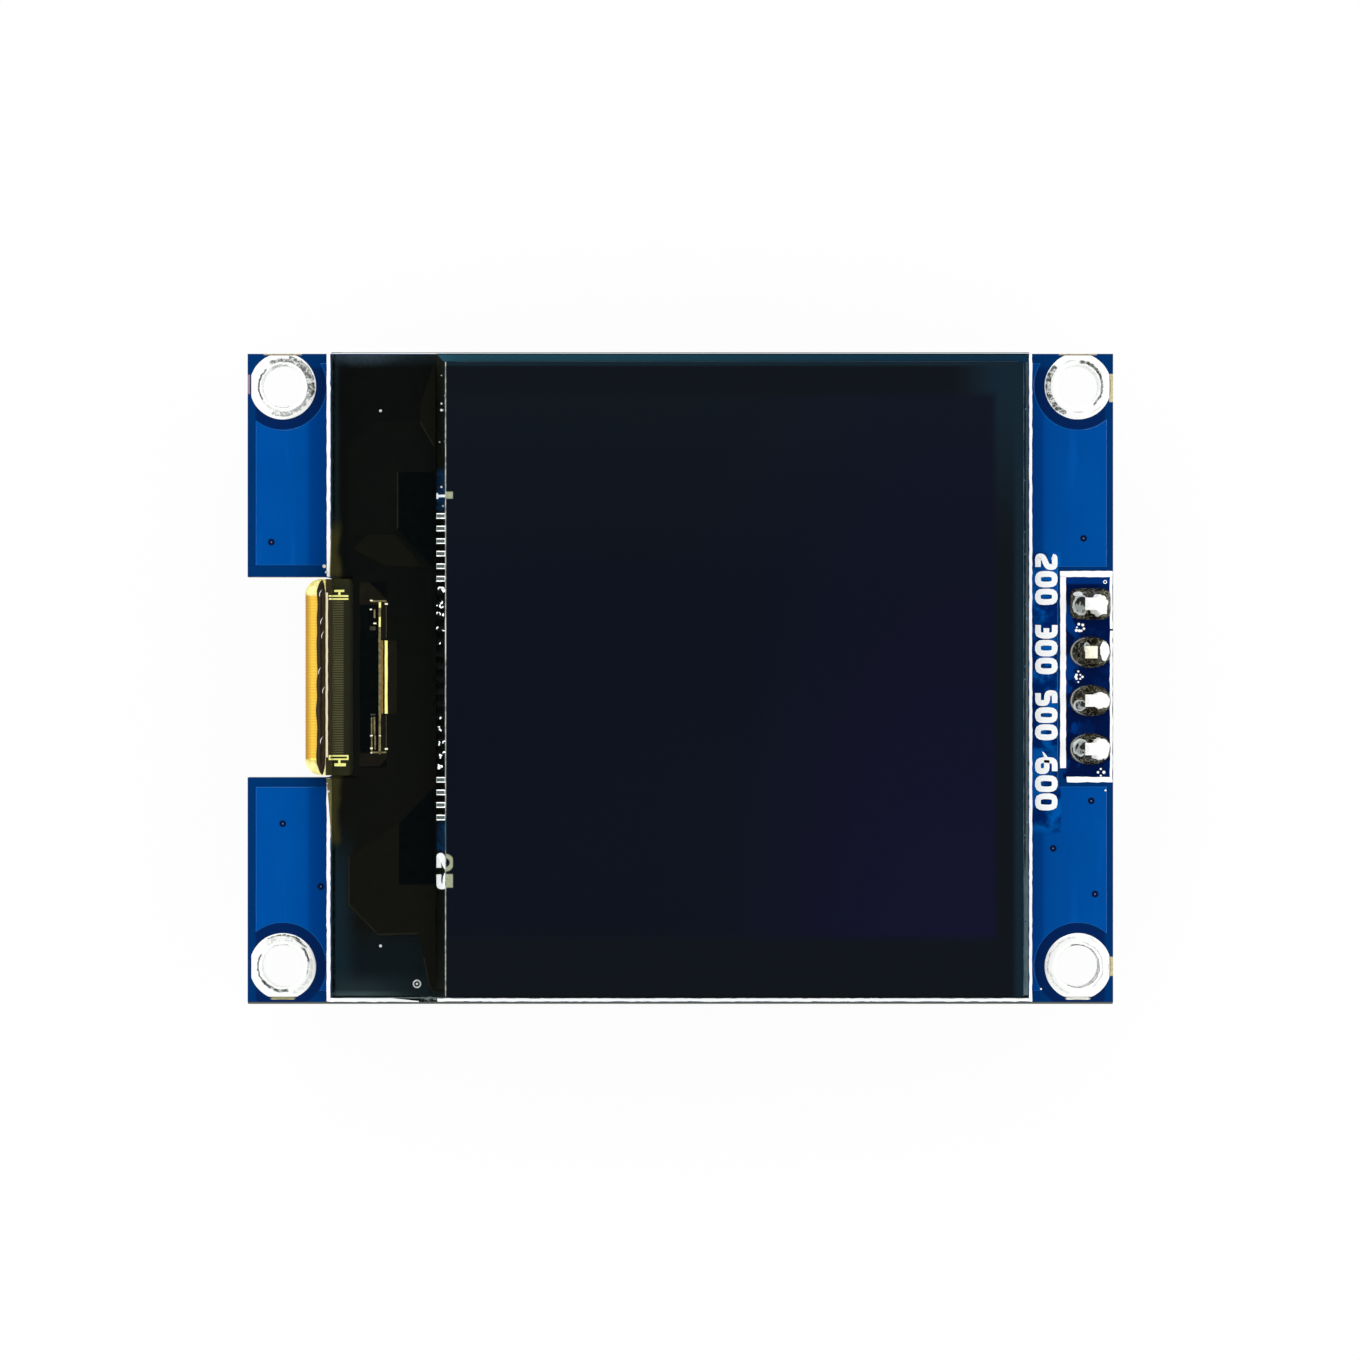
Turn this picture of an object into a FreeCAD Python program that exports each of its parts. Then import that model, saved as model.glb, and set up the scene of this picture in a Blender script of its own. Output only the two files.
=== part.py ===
import FreeCAD, Part
import math
import os
import re
import Sketcher

os.makedirs("parts", exist_ok=True)

# Driving sizes in millimetres. The origin is the middle of the board's underside: X runs along the
# board towards the pin header, Y across it, and Z out of the display.
SIZES = {
    # Circuit board, open at its left edge where the flex ribbon folds through
    "board_length": 45.5,
    "board_width": 34.2,
    "board_thickness": 1.6,
    "notch_height": 10.53,
    "notch_under_panel": 0.35,
    "notch_centre": 0.1,
    "notch_corner": 0.8,
    "score_run": 0.13,
    "score_depth": 0.5,
    # Plated mounting holes
    "hole_side_inset": 1.85,
    "hole_end_inset": 1.85,
    "hole_row_centre": 0.15,
    "hole_bore": 2.2,
    "plating_wall": 0.04,
    "land_diameter": 3.5,
    "land_depth": 0.05,
    "land_edge_gap": 0.2,
    "land_upper_gap": 0.06,
    "land_lower_gap": 0.4,
    # Display panel: substrate glass over a smaller cap glass, upper edge flush with the board
    "substrate_width": 36.5,
    "substrate_height": 33.8,
    "substrate_thickness": 0.7,
    "ledge_width": 6.0,
    "polarizer_thickness": 0.2,
    "polarizer_top_margin": 0.5,
    "polarizer_low_margin": 0.1,
    "polarizer_side_margin": 0.3,
    "cap_thickness": 0.5,
    "cap_setback": 0.45,
    "cap_side_margin": 0.55,
    "cap_end_margin": 0.4,
    "cap_recess": 0.3,
    "seal_width": 1.2,
    "seal_thickness": 0.03,
    "emitter_margin": 0.12,
    "emitter_thickness": 0.02,
    "desiccant_margin": 2.55,
    "desiccant_thickness": 0.15,
    # Double-sided foam tape that holds the panel on the board
    "foam_thickness": 0.4,
    "foam_margin": 0.6,
    # Driver chip on the back of the ledge, and the black tape over it
    "chip_left_gap": 1.45,
    "chip_width": 1.42,
    "chip_length": 9.8,
    "chip_thickness": 0.3,
    "chip_centre": 0.24,
    "chip_clearance": 0.15,
    "tape_roof": 0.08,
    "tape_gap": 0.55,
    "tape_end_gap": 0.1,
    # Flex ribbon: bonded tab, fold and soldered tail
    "ribbon_thickness": 0.12,
    "ribbon_width": 10.3,
    "ribbon_overhang": 1.45,
    "ribbon_corner": 0.9,
    "tab_length": 1.1,
    "tail_width": 17.1,
    "tail_shoulder": 0.8,
    "tail_end_gap": 0.6,
    "tail_centre": 0.65,
    "glue_width": 0.75,
    "glue_height": 0.4,
    "glue_length": 9.9,
    # Solder joints of the ribbon
    "joint_count": 25,
    "joint_pitch": 0.66,
    "joint_width": 0.34,
    "joint_length": 0.52,
    "joint_toe": 0.04,
    # Four-pin header on the underside
    "header_pitch": 2.54,
    "header_count": 4,
    "header_edge_gap": 1.2,
    "header_centre": 0.14,
    "header_base_width": 2.5,
    "header_base_height": 2.54,
    "header_base_chamfer": 0.55,
    "pin_width": 0.64,
    "pin_clearance": 0.01,
    "pin_tip": 0.2,
    "pin_below": 6.0,
    "pin_above": 1.25,
    "drill_diameter": 1.0,
    "pad_length": 2.15,
    "pad_width": 1.66,
    "pad_height": 0.06,
    "solder_height": 1.0,
    # Moulded packages and their gull-wing leads
    "lead_thickness": 0.15,
    "lead_foot": 0.42,
    "lead_rise_run": 0.1,
    "lead_embed": 0.2,
    "package_standoff": 0.08,
    "package_height": 1.1,
    "package_draft": 7.0,
    "sot_length": 2.9,
    "sot_width": 1.6,
    "sot_span": 2.8,
    "sot_pitch": 0.95,
    "sot_lead_width": 0.4,
    "diode_length": 2.7,
    "diode_width": 1.6,
    "diode_span": 3.7,
    "diode_lead_width": 0.6,
    # Chip capacitors and chip resistors
    "capacitor_length": 2.0,
    "capacitor_width": 1.25,
    "capacitor_height": 0.85,
    "capacitor_terminal": 0.45,
    "resistor_length": 1.6,
    "resistor_width": 0.8,
    "resistor_height": 0.45,
    "resistor_terminal": 0.3,
    "terminal_skin": 0.02,
    "capacitor_edge": 0.08,
    # Drum inductor with its winding
    "drum_diameter": 4.5,
    "drum_height": 3.2,
    "drum_hub": 2.0,
    "drum_base": 0.7,
    "drum_top": 0.6,
    "drum_edge": 0.12,
    "coil_clearance": 0.04,
    "coil_diameter": 4.1,
    "coil_edge": 0.2,
    # Places of the parts on the underside
    "capacitor_column": -8.6,
    "capacitor_first": 6.6,
    "capacitor_step": 2.65,
    "resistor_column": -4.6,
    "resistor_first": 5.3,
    "resistor_step": 2.65,
    "supply_column": 8.6,
    "supply_row": 5.0,
    "regulator_offset": 3.6,
    "bus_column": 14.6,
    "bus_first": -2.4,
    "bus_step": 2.2,
    "boost_column": 2.2,
    "boost_row": -5.6,
    "inductor_offset": 5.6,
    "diode_drop": 4.0,
    "feedback_offset": 3.4,
    "feedback_step": 2.2,
    "boost_capacitor_rise": 3.6,
}

doc = FreeCAD.newDocument("small_oled_module")
sheet = doc.addObject("Spreadsheet::Sheet", "Sizes")
for row, (alias, number) in enumerate(SIZES.items(), 1):
    sheet.set(f"A{row}", alias)
    sheet.set(f"B{row}", str(number))
    sheet.setAlias(f"B{row}", alias)
doc.recompute()

sub_parts = []


def tied(text):
    """The expression with each size name read from the sheet."""
    return re.sub(r"[a-z][a-z_]+", r"Sizes.\g<0>", text)


def value(text):
    """What an expression on the sheet is worth now."""
    return float(sheet.evalExpression(tied(text)))


def new_body(label):
    """An empty body for one sub-part."""
    body = doc.addObject("PartDesign::Body", label)
    body.Label = label
    sub_parts.append(body)
    return body


def place(body, x="0", y="0", z="0", rotation=None):
    """Puts a body at a place that follows the sheet."""
    if rotation:
        body.Placement = FreeCAD.Placement(FreeCAD.Vector(), rotation)
    body.setExpression("Placement.Base.x", tied(x))
    body.setExpression("Placement.Base.y", tied(y))
    body.setExpression("Placement.Base.z", tied(z))


def new_sketch(body, name, plane="XY_Plane", lift=None):
    """A sketch on one of the body's origin planes, or lifted from it along its normal."""
    sketch = body.newObject("Sketcher::SketchObject", name)
    support = next(item for item in body.Origin.OriginFeatures if item.Role == plane)
    sketch.AttachmentSupport = (support, "")
    sketch.MapMode = "FlatFace"
    if lift:
        sketch.setExpression("AttachmentOffset.Base.z", tied(lift))
    return sketch


def tie(sketch, kind, *where, size):
    """Adds a measured constraint and binds it to the sheet."""
    index = sketch.addConstraint(Sketcher.Constraint(kind, *where, value(size)))
    sketch.setExpression(f"Constraints[{index}]", tied(size))


def add_loop(sketch, corners):
    """A closed run of straight sides, each corner held by its two coordinates."""
    first = sketch.GeometryCount
    count = len(corners)
    spots = [FreeCAD.Vector(value(x), value(y), 0) for x, y in corners]
    for number, spot in enumerate(spots):
        sketch.addGeometry(Part.LineSegment(spot, spots[(number + 1) % count]))
    for number, (x, y) in enumerate(corners):
        side = first + number
        following = first + (number + 1) % count
        sketch.addConstraint(Sketcher.Constraint("Coincident", side, 2, following, 1))
        tie(sketch, "DistanceX", -1, 1, side, 1, size=x)
        tie(sketch, "DistanceY", -1, 1, side, 1, size=y)


def add_box(sketch, left, right, low, high):
    """A rectangle between two coordinates each way."""
    add_loop(sketch, [(left, low), (right, low), (right, high), (left, high)])


def add_disc(sketch, diameter, x="0", y="0"):
    """A circle held by its centre and diameter."""
    centre = FreeCAD.Vector(value(x), value(y), 0)
    index = sketch.addGeometry(Part.Circle(centre, FreeCAD.Vector(0, 0, 1), value(diameter) / 2))
    tie(sketch, "DistanceX", -1, 1, index, 3, size=x)
    tie(sketch, "DistanceY", -1, 1, index, 3, size=y)
    tie(sketch, "Diameter", index, size=diameter)


def add_oval(sketch, length, width):
    """An ellipse about the sketch's origin, longest along its first axis."""
    half_length = FreeCAD.Vector(value(length) / 2, 0, 0)
    half_width = FreeCAD.Vector(0, value(width) / 2, 0)
    index = sketch.addGeometry(Part.Ellipse(half_length, half_width, FreeCAD.Vector()))
    sketch.addConstraint(Sketcher.Constraint("Coincident", index, 3, -1, 1))
    sketch.exposeInternalGeometry(index)
    sketch.addConstraint(Sketcher.Constraint("Horizontal", index + 1))
    tie(sketch, "Distance", index + 1, size=length)
    tie(sketch, "Distance", index + 2, size=width)


def pad(body, sketch, length, side="One side", down=False, draft=None):
    """Adds the sketch's area, run along its normal."""
    feature = body.newObject("PartDesign::Pad", sketch.Label + "_pad")
    feature.Profile = sketch
    feature.SideType = side
    feature.Reversed = down
    feature.setExpression("Length", tied(length))
    if draft:
        feature.setExpression("TaperAngle", tied(draft))
    sketch.Visibility = False
    return feature


def pocket(body, sketch, depth=None, up=False):
    """Cuts the sketch's area, to a depth or right through both ways."""
    doc.recompute()
    before = body.Shape.Volume
    feature = body.newObject("PartDesign::Pocket", sketch.Label + "_pocket")
    feature.Profile = sketch
    if depth:
        feature.Reversed = up
        feature.setExpression("Length", tied(depth))
    else:
        feature.SideType = "Symmetric"
        feature.Type = "ThroughAll"
    doc.recompute()
    if feature.Shape.Volume >= before:
        raise RuntimeError(f"{feature.Label} cuts nothing")
    return feature


def revolve(body, sketch, axis="V_Axis"):
    """Turns the sketch's area right round one of its axes."""
    feature = body.newObject("PartDesign::Revolution", sketch.Label + "_turn")
    feature.Profile = sketch
    feature.ReferenceAxis = (sketch, [axis])
    feature.Angle = 360
    return feature


def round_edges(body, feature, radius, keep, kind="Fillet"):
    """Rounds or chamfers the feature's edges that pass the test keep."""
    doc.recompute()
    names = [f"Edge{number}" for number, edge in enumerate(feature.Shape.Edges, 1) if keep(edge)]
    dressed = body.newObject("PartDesign::" + kind, feature.Label + "_edges")
    dressed.Base = (feature, names)
    dressed.setExpression("Radius" if kind == "Fillet" else "Size", tied(radius))
    return dressed


NEAR = 1e-6


def edge_at(axis, place, along=None):
    """A test for edges that lie at one place on an axis, and run along another if one is given."""
    def keep(edge):
        box = edge.BoundBox
        low, high = getattr(box, axis + "Min"), getattr(box, axis + "Max")
        level = abs(low - place) < NEAR and abs(high - place) < NEAR
        straight = all(getattr(box, other + "Length") < NEAR for other in "XYZ" if other != along)
        return level and (along is None or straight)
    return keep


def plate(label, left, right, low, high, thickness, bottom):
    """A flat rectangular layer with its underside at a height."""
    body = new_body(label)
    sketch = new_sketch(body, label + "_outline")
    add_box(sketch, left, right, low, high)
    pad(body, sketch, thickness)
    place(body, z=bottom)
    return body


# Edges of the panel's layers, from the board and from each other
PANEL_LEFT = "(-substrate_width / 2)"
PANEL_RIGHT = "(substrate_width / 2)"
PANEL_TOP = "(board_width / 2)"
PANEL_LOW = f"({PANEL_TOP} - substrate_height)"
VIEW_LEFT = f"({PANEL_LEFT} + ledge_width)"
VIEW_RIGHT = f"({PANEL_RIGHT} - polarizer_side_margin)"
CAP_LEFT = f"({VIEW_LEFT} + cap_setback)"
CAP_RIGHT = f"({PANEL_RIGHT} - cap_side_margin)"
CAP_TOP = f"({PANEL_TOP} - cap_end_margin)"
CAP_LOW = f"({PANEL_LOW} + cap_end_margin)"

# Heights of the stack
CAP_BOTTOM = "(board_thickness + foam_thickness)"
SEAL_BOTTOM = f"({CAP_BOTTOM} + cap_thickness)"
GLASS_BOTTOM = f"({SEAL_BOTTOM} + seal_thickness)"
GLASS_TOP = f"({GLASS_BOTTOM} + substrate_thickness)"

# The ribbon's fold: its middle line is a half circle between tab and tail
TAB_BOTTOM = f"({GLASS_BOTTOM} - ribbon_thickness)"
FOLD_MIDDLE = f"(({TAB_BOTTOM} + board_thickness + ribbon_thickness) / 2)"
FOLD_OUTSIDE = f"(({GLASS_BOTTOM} - board_thickness) / 2)"
FOLD_X = f"({PANEL_LEFT} - ribbon_overhang + {FOLD_OUTSIDE})"
NOTCH_TOP = "(notch_centre + notch_height / 2)"
NOTCH_LOW = "(notch_centre - notch_height / 2)"
NOTCH_EDGE = f"({PANEL_LEFT} + notch_under_panel)"
RIBBON_TOP = "(notch_centre + ribbon_width / 2)"
RIBBON_LOW = "(notch_centre - ribbon_width / 2)"
TAIL_END = f"({VIEW_LEFT} - tail_end_gap)"
TAB_END = f"({PANEL_LEFT} + tab_length)"

# The pin header
HEADER_X = "(board_length / 2 - header_edge_gap)"


def pin_row(index):
    """Y of one header pin, counted from the upper end."""
    return f"(header_centre + ((header_count - 1) / 2 - {index}) * header_pitch)"


def circuit_board():
    """Board with its ribbon notch, snapped lower edge, land seats and the header's drilled row."""
    body = new_body("circuit_board")
    outline = new_sketch(body, "board_outline")
    left = "-board_length / 2"
    right = "board_length / 2"
    add_loop(outline, [
        (left, "-board_width / 2"),
        (right, "-board_width / 2"),
        (right, "board_width / 2"),
        (left, "board_width / 2"),
        (left, NOTCH_TOP),
        (NOTCH_EDGE, NOTCH_TOP),
        (NOTCH_EDGE, NOTCH_LOW),
        (left, NOTCH_LOW),
    ])
    slab = pad(body, outline, "board_thickness")
    round_edges(body, slab, "notch_corner", edge_at("X", value(NOTCH_EDGE), along="Z"))
    score = new_sketch(body, "score_section", "YZ_Plane")
    low = "-board_width / 2"
    for face, inward in (("board_thickness", "-"), ("0", "+")):
        add_loop(score, [
            (f"{low} + score_run", face),
            (low, f"{face} {inward} score_depth"),
            (f"{low} - score_run", f"{face} {inward} score_depth"),
            (f"{low} - score_run", face),
        ])
    pocket(body, score)
    drilled = new_sketch(body, "mounting_drill")
    lower_seat = new_sketch(body, "lower_land_seat")
    upper_seat = new_sketch(body, "upper_land_seat", lift="board_thickness")
    for x, y in hole_places():
        add_disc(drilled, "hole_bore + 2 * plating_wall", x, y)
        add_disc(lower_seat, "land_diameter", x, y)
        add_disc(upper_seat, "land_diameter", x, y)
    pin_holes = new_sketch(body, "header_drill")
    for index in range(int(SIZES["header_count"])):
        add_disc(pin_holes, "drill_diameter", HEADER_X, pin_row(index))
    pocket(body, drilled)
    pocket(body, pin_holes)
    pocket(body, lower_seat, "land_depth", up=True)
    pocket(body, upper_seat, "land_depth")
    place(body)


def hole_places():
    """Centres of the four mounting holes."""
    return [(f"{side} * (board_length / 2 - hole_side_inset)",
             f"hole_row_centre + {end} * (board_width / 2 - hole_end_inset)")
            for side in (-1, 1) for end in (-1, 1)]


def hole_plating(number, x, y):
    """Tinned barrel and its two lands, cut flat where they near the board's edges."""
    body = new_body(f"hole_plating_{number}")
    section = new_sketch(body, f"plating_{number}_section", "XZ_Plane")
    inside = "hole_bore / 2"
    barrel = "hole_bore / 2 + plating_wall"
    rim = "land_diameter / 2"
    upper = "board_thickness - land_depth"
    add_loop(section, [
        (inside, "0"),
        (rim, "0"),
        (rim, "land_depth"),
        (barrel, "land_depth"),
        (barrel, upper),
        (rim, upper),
        (rim, "board_thickness"),
        (inside, "board_thickness"),
    ])
    revolve(body, section)
    trim = new_sketch(body, f"plating_{number}_trim")
    side_flat = "(hole_side_inset - land_edge_gap)"
    if value(y) > 0:
        end_flat = f"(board_width / 2 - land_upper_gap - ({y}))"
    else:
        end_flat = f"(board_width / 2 - land_lower_gap + ({y}))"
    end = 1 if value(x) * value(y) > 0 else -1
    add_loop(trim, [
        (side_flat, f"{-end} * land_diameter"),
        ("land_diameter", f"{-end} * land_diameter"),
        ("land_diameter", f"{end} * land_diameter"),
        ("-land_diameter", f"{end} * land_diameter"),
        ("-land_diameter", f"{end} * {end_flat}"),
        (side_flat, f"{end} * {end_flat}"),
    ])
    pocket(body, trim)
    outward = FreeCAD.Rotation(FreeCAD.Vector(0, 0, 1), 180 if value(x) < 0 else 0)
    place(body, x, y, rotation=outward)


def cap_glass():
    """Rear glass with the etched recess that leaves room for the drying sheet."""
    body = plate("cap_glass", CAP_LEFT, CAP_RIGHT, CAP_LOW, CAP_TOP, "cap_thickness", CAP_BOTTOM)
    recess = new_sketch(body, "cap_recess_outline", lift="cap_thickness")
    add_box(recess, f"{CAP_LEFT} + seal_width", f"{CAP_RIGHT} - seal_width",
            f"{CAP_LOW} + seal_width", f"{CAP_TOP} - seal_width")
    pocket(body, recess, "cap_recess")


def edge_seal():
    """Thin frame of sealant between the two glasses."""
    body = plate("edge_seal", CAP_LEFT, CAP_RIGHT, CAP_LOW, CAP_TOP, "seal_thickness", SEAL_BOTTOM)
    window = new_sketch(body, "seal_window")
    add_box(window, f"{CAP_LEFT} + seal_width", f"{CAP_RIGHT} - seal_width",
            f"{CAP_LOW} + seal_width", f"{CAP_TOP} - seal_width")
    pocket(body, window)


def middle_square(label, margin, thickness, bottom):
    """A square layer in the middle of the cap glass, as wide as the seal's window less a margin."""
    left = f"({CAP_LEFT} + seal_width + {margin})"
    right = f"({CAP_RIGHT} - seal_width - {margin})"
    middle = f"({CAP_TOP} + {CAP_LOW}) / 2"
    half = f"({right} - {left}) / 2"
    plate(label, left, right, f"{middle} - {half}", f"{middle} + {half}", thickness, bottom)


def panel():
    """The display's layers, from the foam on the board up to the polarizer."""
    plate("foam_tape", f"{CAP_LEFT} + foam_margin", f"{CAP_RIGHT} - foam_margin",
          f"{CAP_LOW} + foam_margin", f"{CAP_TOP} - foam_margin", "foam_thickness", "board_thickness")
    cap_glass()
    middle_square("desiccant_sheet", "desiccant_margin", "desiccant_thickness",
                  f"{CAP_BOTTOM} + cap_thickness - cap_recess")
    edge_seal()
    middle_square("emitter_layer", "emitter_margin", "emitter_thickness",
                  f"{GLASS_BOTTOM} - emitter_thickness")
    plate("substrate_glass", PANEL_LEFT, PANEL_RIGHT, PANEL_LOW, PANEL_TOP,
          "substrate_thickness", GLASS_BOTTOM)
    plate("polarizer", VIEW_LEFT, VIEW_RIGHT, f"{PANEL_LOW} + polarizer_low_margin",
          f"{PANEL_TOP} - polarizer_top_margin", "polarizer_thickness", GLASS_TOP)


# The driver chip on the ledge's back
CHIP_LEFT = f"({PANEL_LEFT} + chip_left_gap)"
CHIP_RIGHT = f"({CHIP_LEFT} + chip_width)"
CHIP_TOP = "(chip_centre + chip_length / 2)"
CHIP_LOW = "(chip_centre - chip_length / 2)"


def ledge():
    """Driver chip under the ledge, and the tape that covers it."""
    plate("driver_ic", CHIP_LEFT, CHIP_RIGHT, CHIP_LOW, CHIP_TOP, "chip_thickness",
          f"{GLASS_BOTTOM} - chip_thickness")
    tape = plate("ledge_tape", PANEL_LEFT, f"{VIEW_LEFT} - tape_gap", f"{PANEL_LOW} + tape_end_gap",
                 f"{PANEL_TOP} - tape_end_gap", "chip_thickness + tape_roof",
                 f"{GLASS_BOTTOM} - chip_thickness - tape_roof")
    top = "chip_thickness + tape_roof"
    chip_seat = new_sketch(tape, "tape_chip_seat", lift=top)
    add_box(chip_seat, f"{CHIP_LEFT} - chip_clearance", f"{CHIP_RIGHT} + chip_clearance",
            f"{CHIP_LOW} - chip_clearance", f"{CHIP_TOP} + chip_clearance")
    pocket(tape, chip_seat, "chip_thickness")
    tab_seat = new_sketch(tape, "tape_tab_seat", lift=top)
    add_box(tab_seat, f"{PANEL_LEFT} - chip_clearance", f"{TAB_END} + chip_clearance",
            f"{RIBBON_LOW} - chip_clearance", f"{RIBBON_TOP} + chip_clearance")
    pocket(tape, tab_seat, "ribbon_thickness")


def flex_ribbon():
    """Ribbon from the ledge, folded back through the notch onto the board."""
    body = new_body("flex_ribbon")
    tab = new_sketch(body, "ribbon_tab", lift=TAB_BOTTOM)
    add_box(tab, FOLD_X, TAB_END, RIBBON_LOW, RIBBON_TOP)
    pad(body, tab, "ribbon_thickness")
    tail = new_sketch(body, "ribbon_tail", lift="board_thickness")
    tail_top = "(tail_centre + tail_width / 2)"
    tail_low = "(tail_centre - tail_width / 2)"
    neck_end = f"({NOTCH_EDGE} + notch_corner)"
    add_loop(tail, [
        (FOLD_X, RIBBON_LOW),
        (neck_end, RIBBON_LOW),
        (f"{neck_end} + tail_shoulder", tail_low),
        (TAIL_END, tail_low),
        (TAIL_END, tail_top),
        (f"{neck_end} + tail_shoulder", tail_top),
        (neck_end, RIBBON_TOP),
        (FOLD_X, RIBBON_TOP),
    ])
    pad(body, tail, "ribbon_thickness")
    doc.recompute()
    strip = new_sketch(body, "ribbon_fold_section", "YZ_Plane", lift=FOLD_X)
    strip.setExpression("AttachmentOffset.Base.y", tied(FOLD_MIDDLE))
    add_box(strip, RIBBON_LOW, RIBBON_TOP, f"{FOLD_OUTSIDE} - ribbon_thickness", FOLD_OUTSIDE)
    fold = body.newObject("PartDesign::Revolution", "ribbon_fold")
    fold.Profile = strip
    fold.ReferenceAxis = (strip, ["H_Axis"])
    fold.Angle = 180
    doc.recompute()
    if fold.Shape.BoundBox.XMin > value(FOLD_X) - value(FOLD_OUTSIDE) / 2:
        fold.Reversed = True
    corners = new_sketch(body, "ribbon_corners")
    outer = f"({FOLD_X} - {FOLD_OUTSIDE})"
    for edge, inward in ((RIBBON_TOP, "-"), (RIBBON_LOW, "+")):
        add_corner(corners, outer, edge, inward)
    pocket(body, corners)
    place(body)


def add_corner(sketch, outer, edge, inward):
    """The waste outside a rounded corner: two straight sides and a quarter of a circle."""
    radius = value("ribbon_corner")
    sign = -1 if inward == "-" else 1
    tip = FreeCAD.Vector(value(outer), value(edge), 0)
    along = tip + FreeCAD.Vector(radius, 0, 0)
    down = tip + FreeCAD.Vector(0, sign * radius, 0)
    centre = tip + FreeCAD.Vector(radius, sign * radius, 0)
    start = math.pi / 2 if sign < 0 else math.pi
    near, far = (1, 2) if sign < 0 else (2, 1)
    circle = Part.Circle(centre, FreeCAD.Vector(0, 0, 1), radius)
    first = sketch.GeometryCount
    sketch.addGeometry(Part.LineSegment(tip, along))
    sketch.addGeometry(Part.ArcOfCircle(circle, start, start + math.pi / 2))
    sketch.addGeometry(Part.LineSegment(down, tip))
    sketch.addConstraint(Sketcher.Constraint("Coincident", first, 2, first + 1, near))
    sketch.addConstraint(Sketcher.Constraint("Coincident", first + 1, far, first + 2, 1))
    sketch.addConstraint(Sketcher.Constraint("Coincident", first + 2, 2, first, 1))
    spots = ((first, 1, outer, edge),
             (first + 1, near, f"{outer} + ribbon_corner", edge),
             (first + 1, far, outer, f"{edge} {inward} ribbon_corner"))
    for shape, point, x, y in spots:
        tie(sketch, "DistanceX", -1, 1, shape, point, size=x)
        tie(sketch, "DistanceY", -1, 1, shape, point, size=y)
    tie(sketch, "Radius", first + 1, size="ribbon_corner")


def ribbon_glue():
    """Bead of clear glue in the corner of ribbon and glass edge."""
    body = new_body("ribbon_glue")
    section = new_sketch(body, "glue_section", "XZ_Plane")
    add_loop(section, [
        (PANEL_LEFT, GLASS_BOTTOM),
        (PANEL_LEFT, f"{GLASS_BOTTOM} + glue_height"),
        (f"{PANEL_LEFT} - glue_width / 2", f"{GLASS_BOTTOM} + glue_height * 0.62"),
        (f"{PANEL_LEFT} - glue_width", GLASS_BOTTOM),
    ])
    pad(body, section, "glue_length", side="Symmetric")
    place(body, y="notch_centre")


def ribbon_solder():
    """The row of soldered ribbon ends, each a small wedge from ribbon to board."""
    body = new_body("ribbon_solder")
    body.AllowCompound = True
    section = new_sketch(body, "joint_section", "XZ_Plane")
    add_loop(section, [
        ("0", "0"),
        ("joint_length", "0"),
        ("joint_length", "joint_toe"),
        ("joint_length * 0.45", "ribbon_thickness"),
        ("0", "ribbon_thickness + joint_toe"),
    ])
    joint = pad(body, section, "joint_width", side="Symmetric")
    row = body.newObject("PartDesign::LinearPattern", "joint_row")
    row.Originals = [joint]
    y_axis = next(item for item in body.Origin.OriginFeatures if item.Role == "Y_Axis")
    row.Direction = (y_axis, [""])
    row.setExpression("Length", tied("(joint_count - 1) * joint_pitch"))
    row.setExpression("Occurrences", tied("joint_count"))
    body.Tip = row
    place(body, TAIL_END, "tail_centre - (joint_count - 1) / 2 * joint_pitch", "board_thickness")


def header_base():
    """Moulded base of the pin header: one chamfered block per pin in a single strip."""
    body = new_body("header_base")
    block = new_sketch(body, "base_block")
    half = "header_base_width / 2"
    nip = "(header_base_width / 2 - header_base_chamfer)"
    end = "header_pitch / 2"
    flat = "(header_pitch / 2 - header_base_chamfer)"
    add_loop(block, [
        (half, f"-{flat}"),
        (half, flat),
        (nip, end),
        (f"-{nip}", end),
        (f"-{half}", flat),
        (f"-{half}", f"-{flat}"),
        (f"-{nip}", f"-{end}"),
        (nip, f"-{end}"),
    ])
    solid = pad(body, block, "header_base_height", down=True)
    slot = new_sketch(body, "pin_slot")
    side = "(pin_width / 2 + pin_clearance)"
    add_box(slot, f"-{side}", side, f"-{side}", side)
    bore = pocket(body, slot)
    row = body.newObject("PartDesign::LinearPattern", "block_row")
    row.Originals = [solid, bore]
    y_axis = next(item for item in body.Origin.OriginFeatures if item.Role == "Y_Axis")
    row.Direction = (y_axis, [""])
    row.Reversed = True
    row.setExpression("Length", tied("(header_count - 1) * header_pitch"))
    row.setExpression("Occurrences", tied("header_count"))
    body.Tip = row
    place(body, HEADER_X, pin_row(0))


def header_pin(index):
    """Square pin with both tips chamfered."""
    body = new_body(f"header_pin_{index + 1}")
    section = new_sketch(body, f"pin_{index + 1}_section")
    side = "pin_width / 2"
    add_box(section, f"-{side}", side, f"-{side}", side)
    length = "board_thickness + pin_above + header_base_height + pin_below"
    bar = pad(body, section, length)
    lower_tip = edge_at("Z", 0)
    upper_tip = edge_at("Z", value(length))
    round_edges(body, bar, "pin_tip", lambda edge: lower_tip(edge) or upper_tip(edge), "Chamfer")
    place(body, HEADER_X, pin_row(index), "-header_base_height - pin_below")


# Height and width of a solder dome's rings, as shares of the whole
DOME_RINGS = ((0.0, 0.96), (0.3, 0.93), (0.6, 0.82), (0.85, 0.64), (1.0, 0.48))


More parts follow.
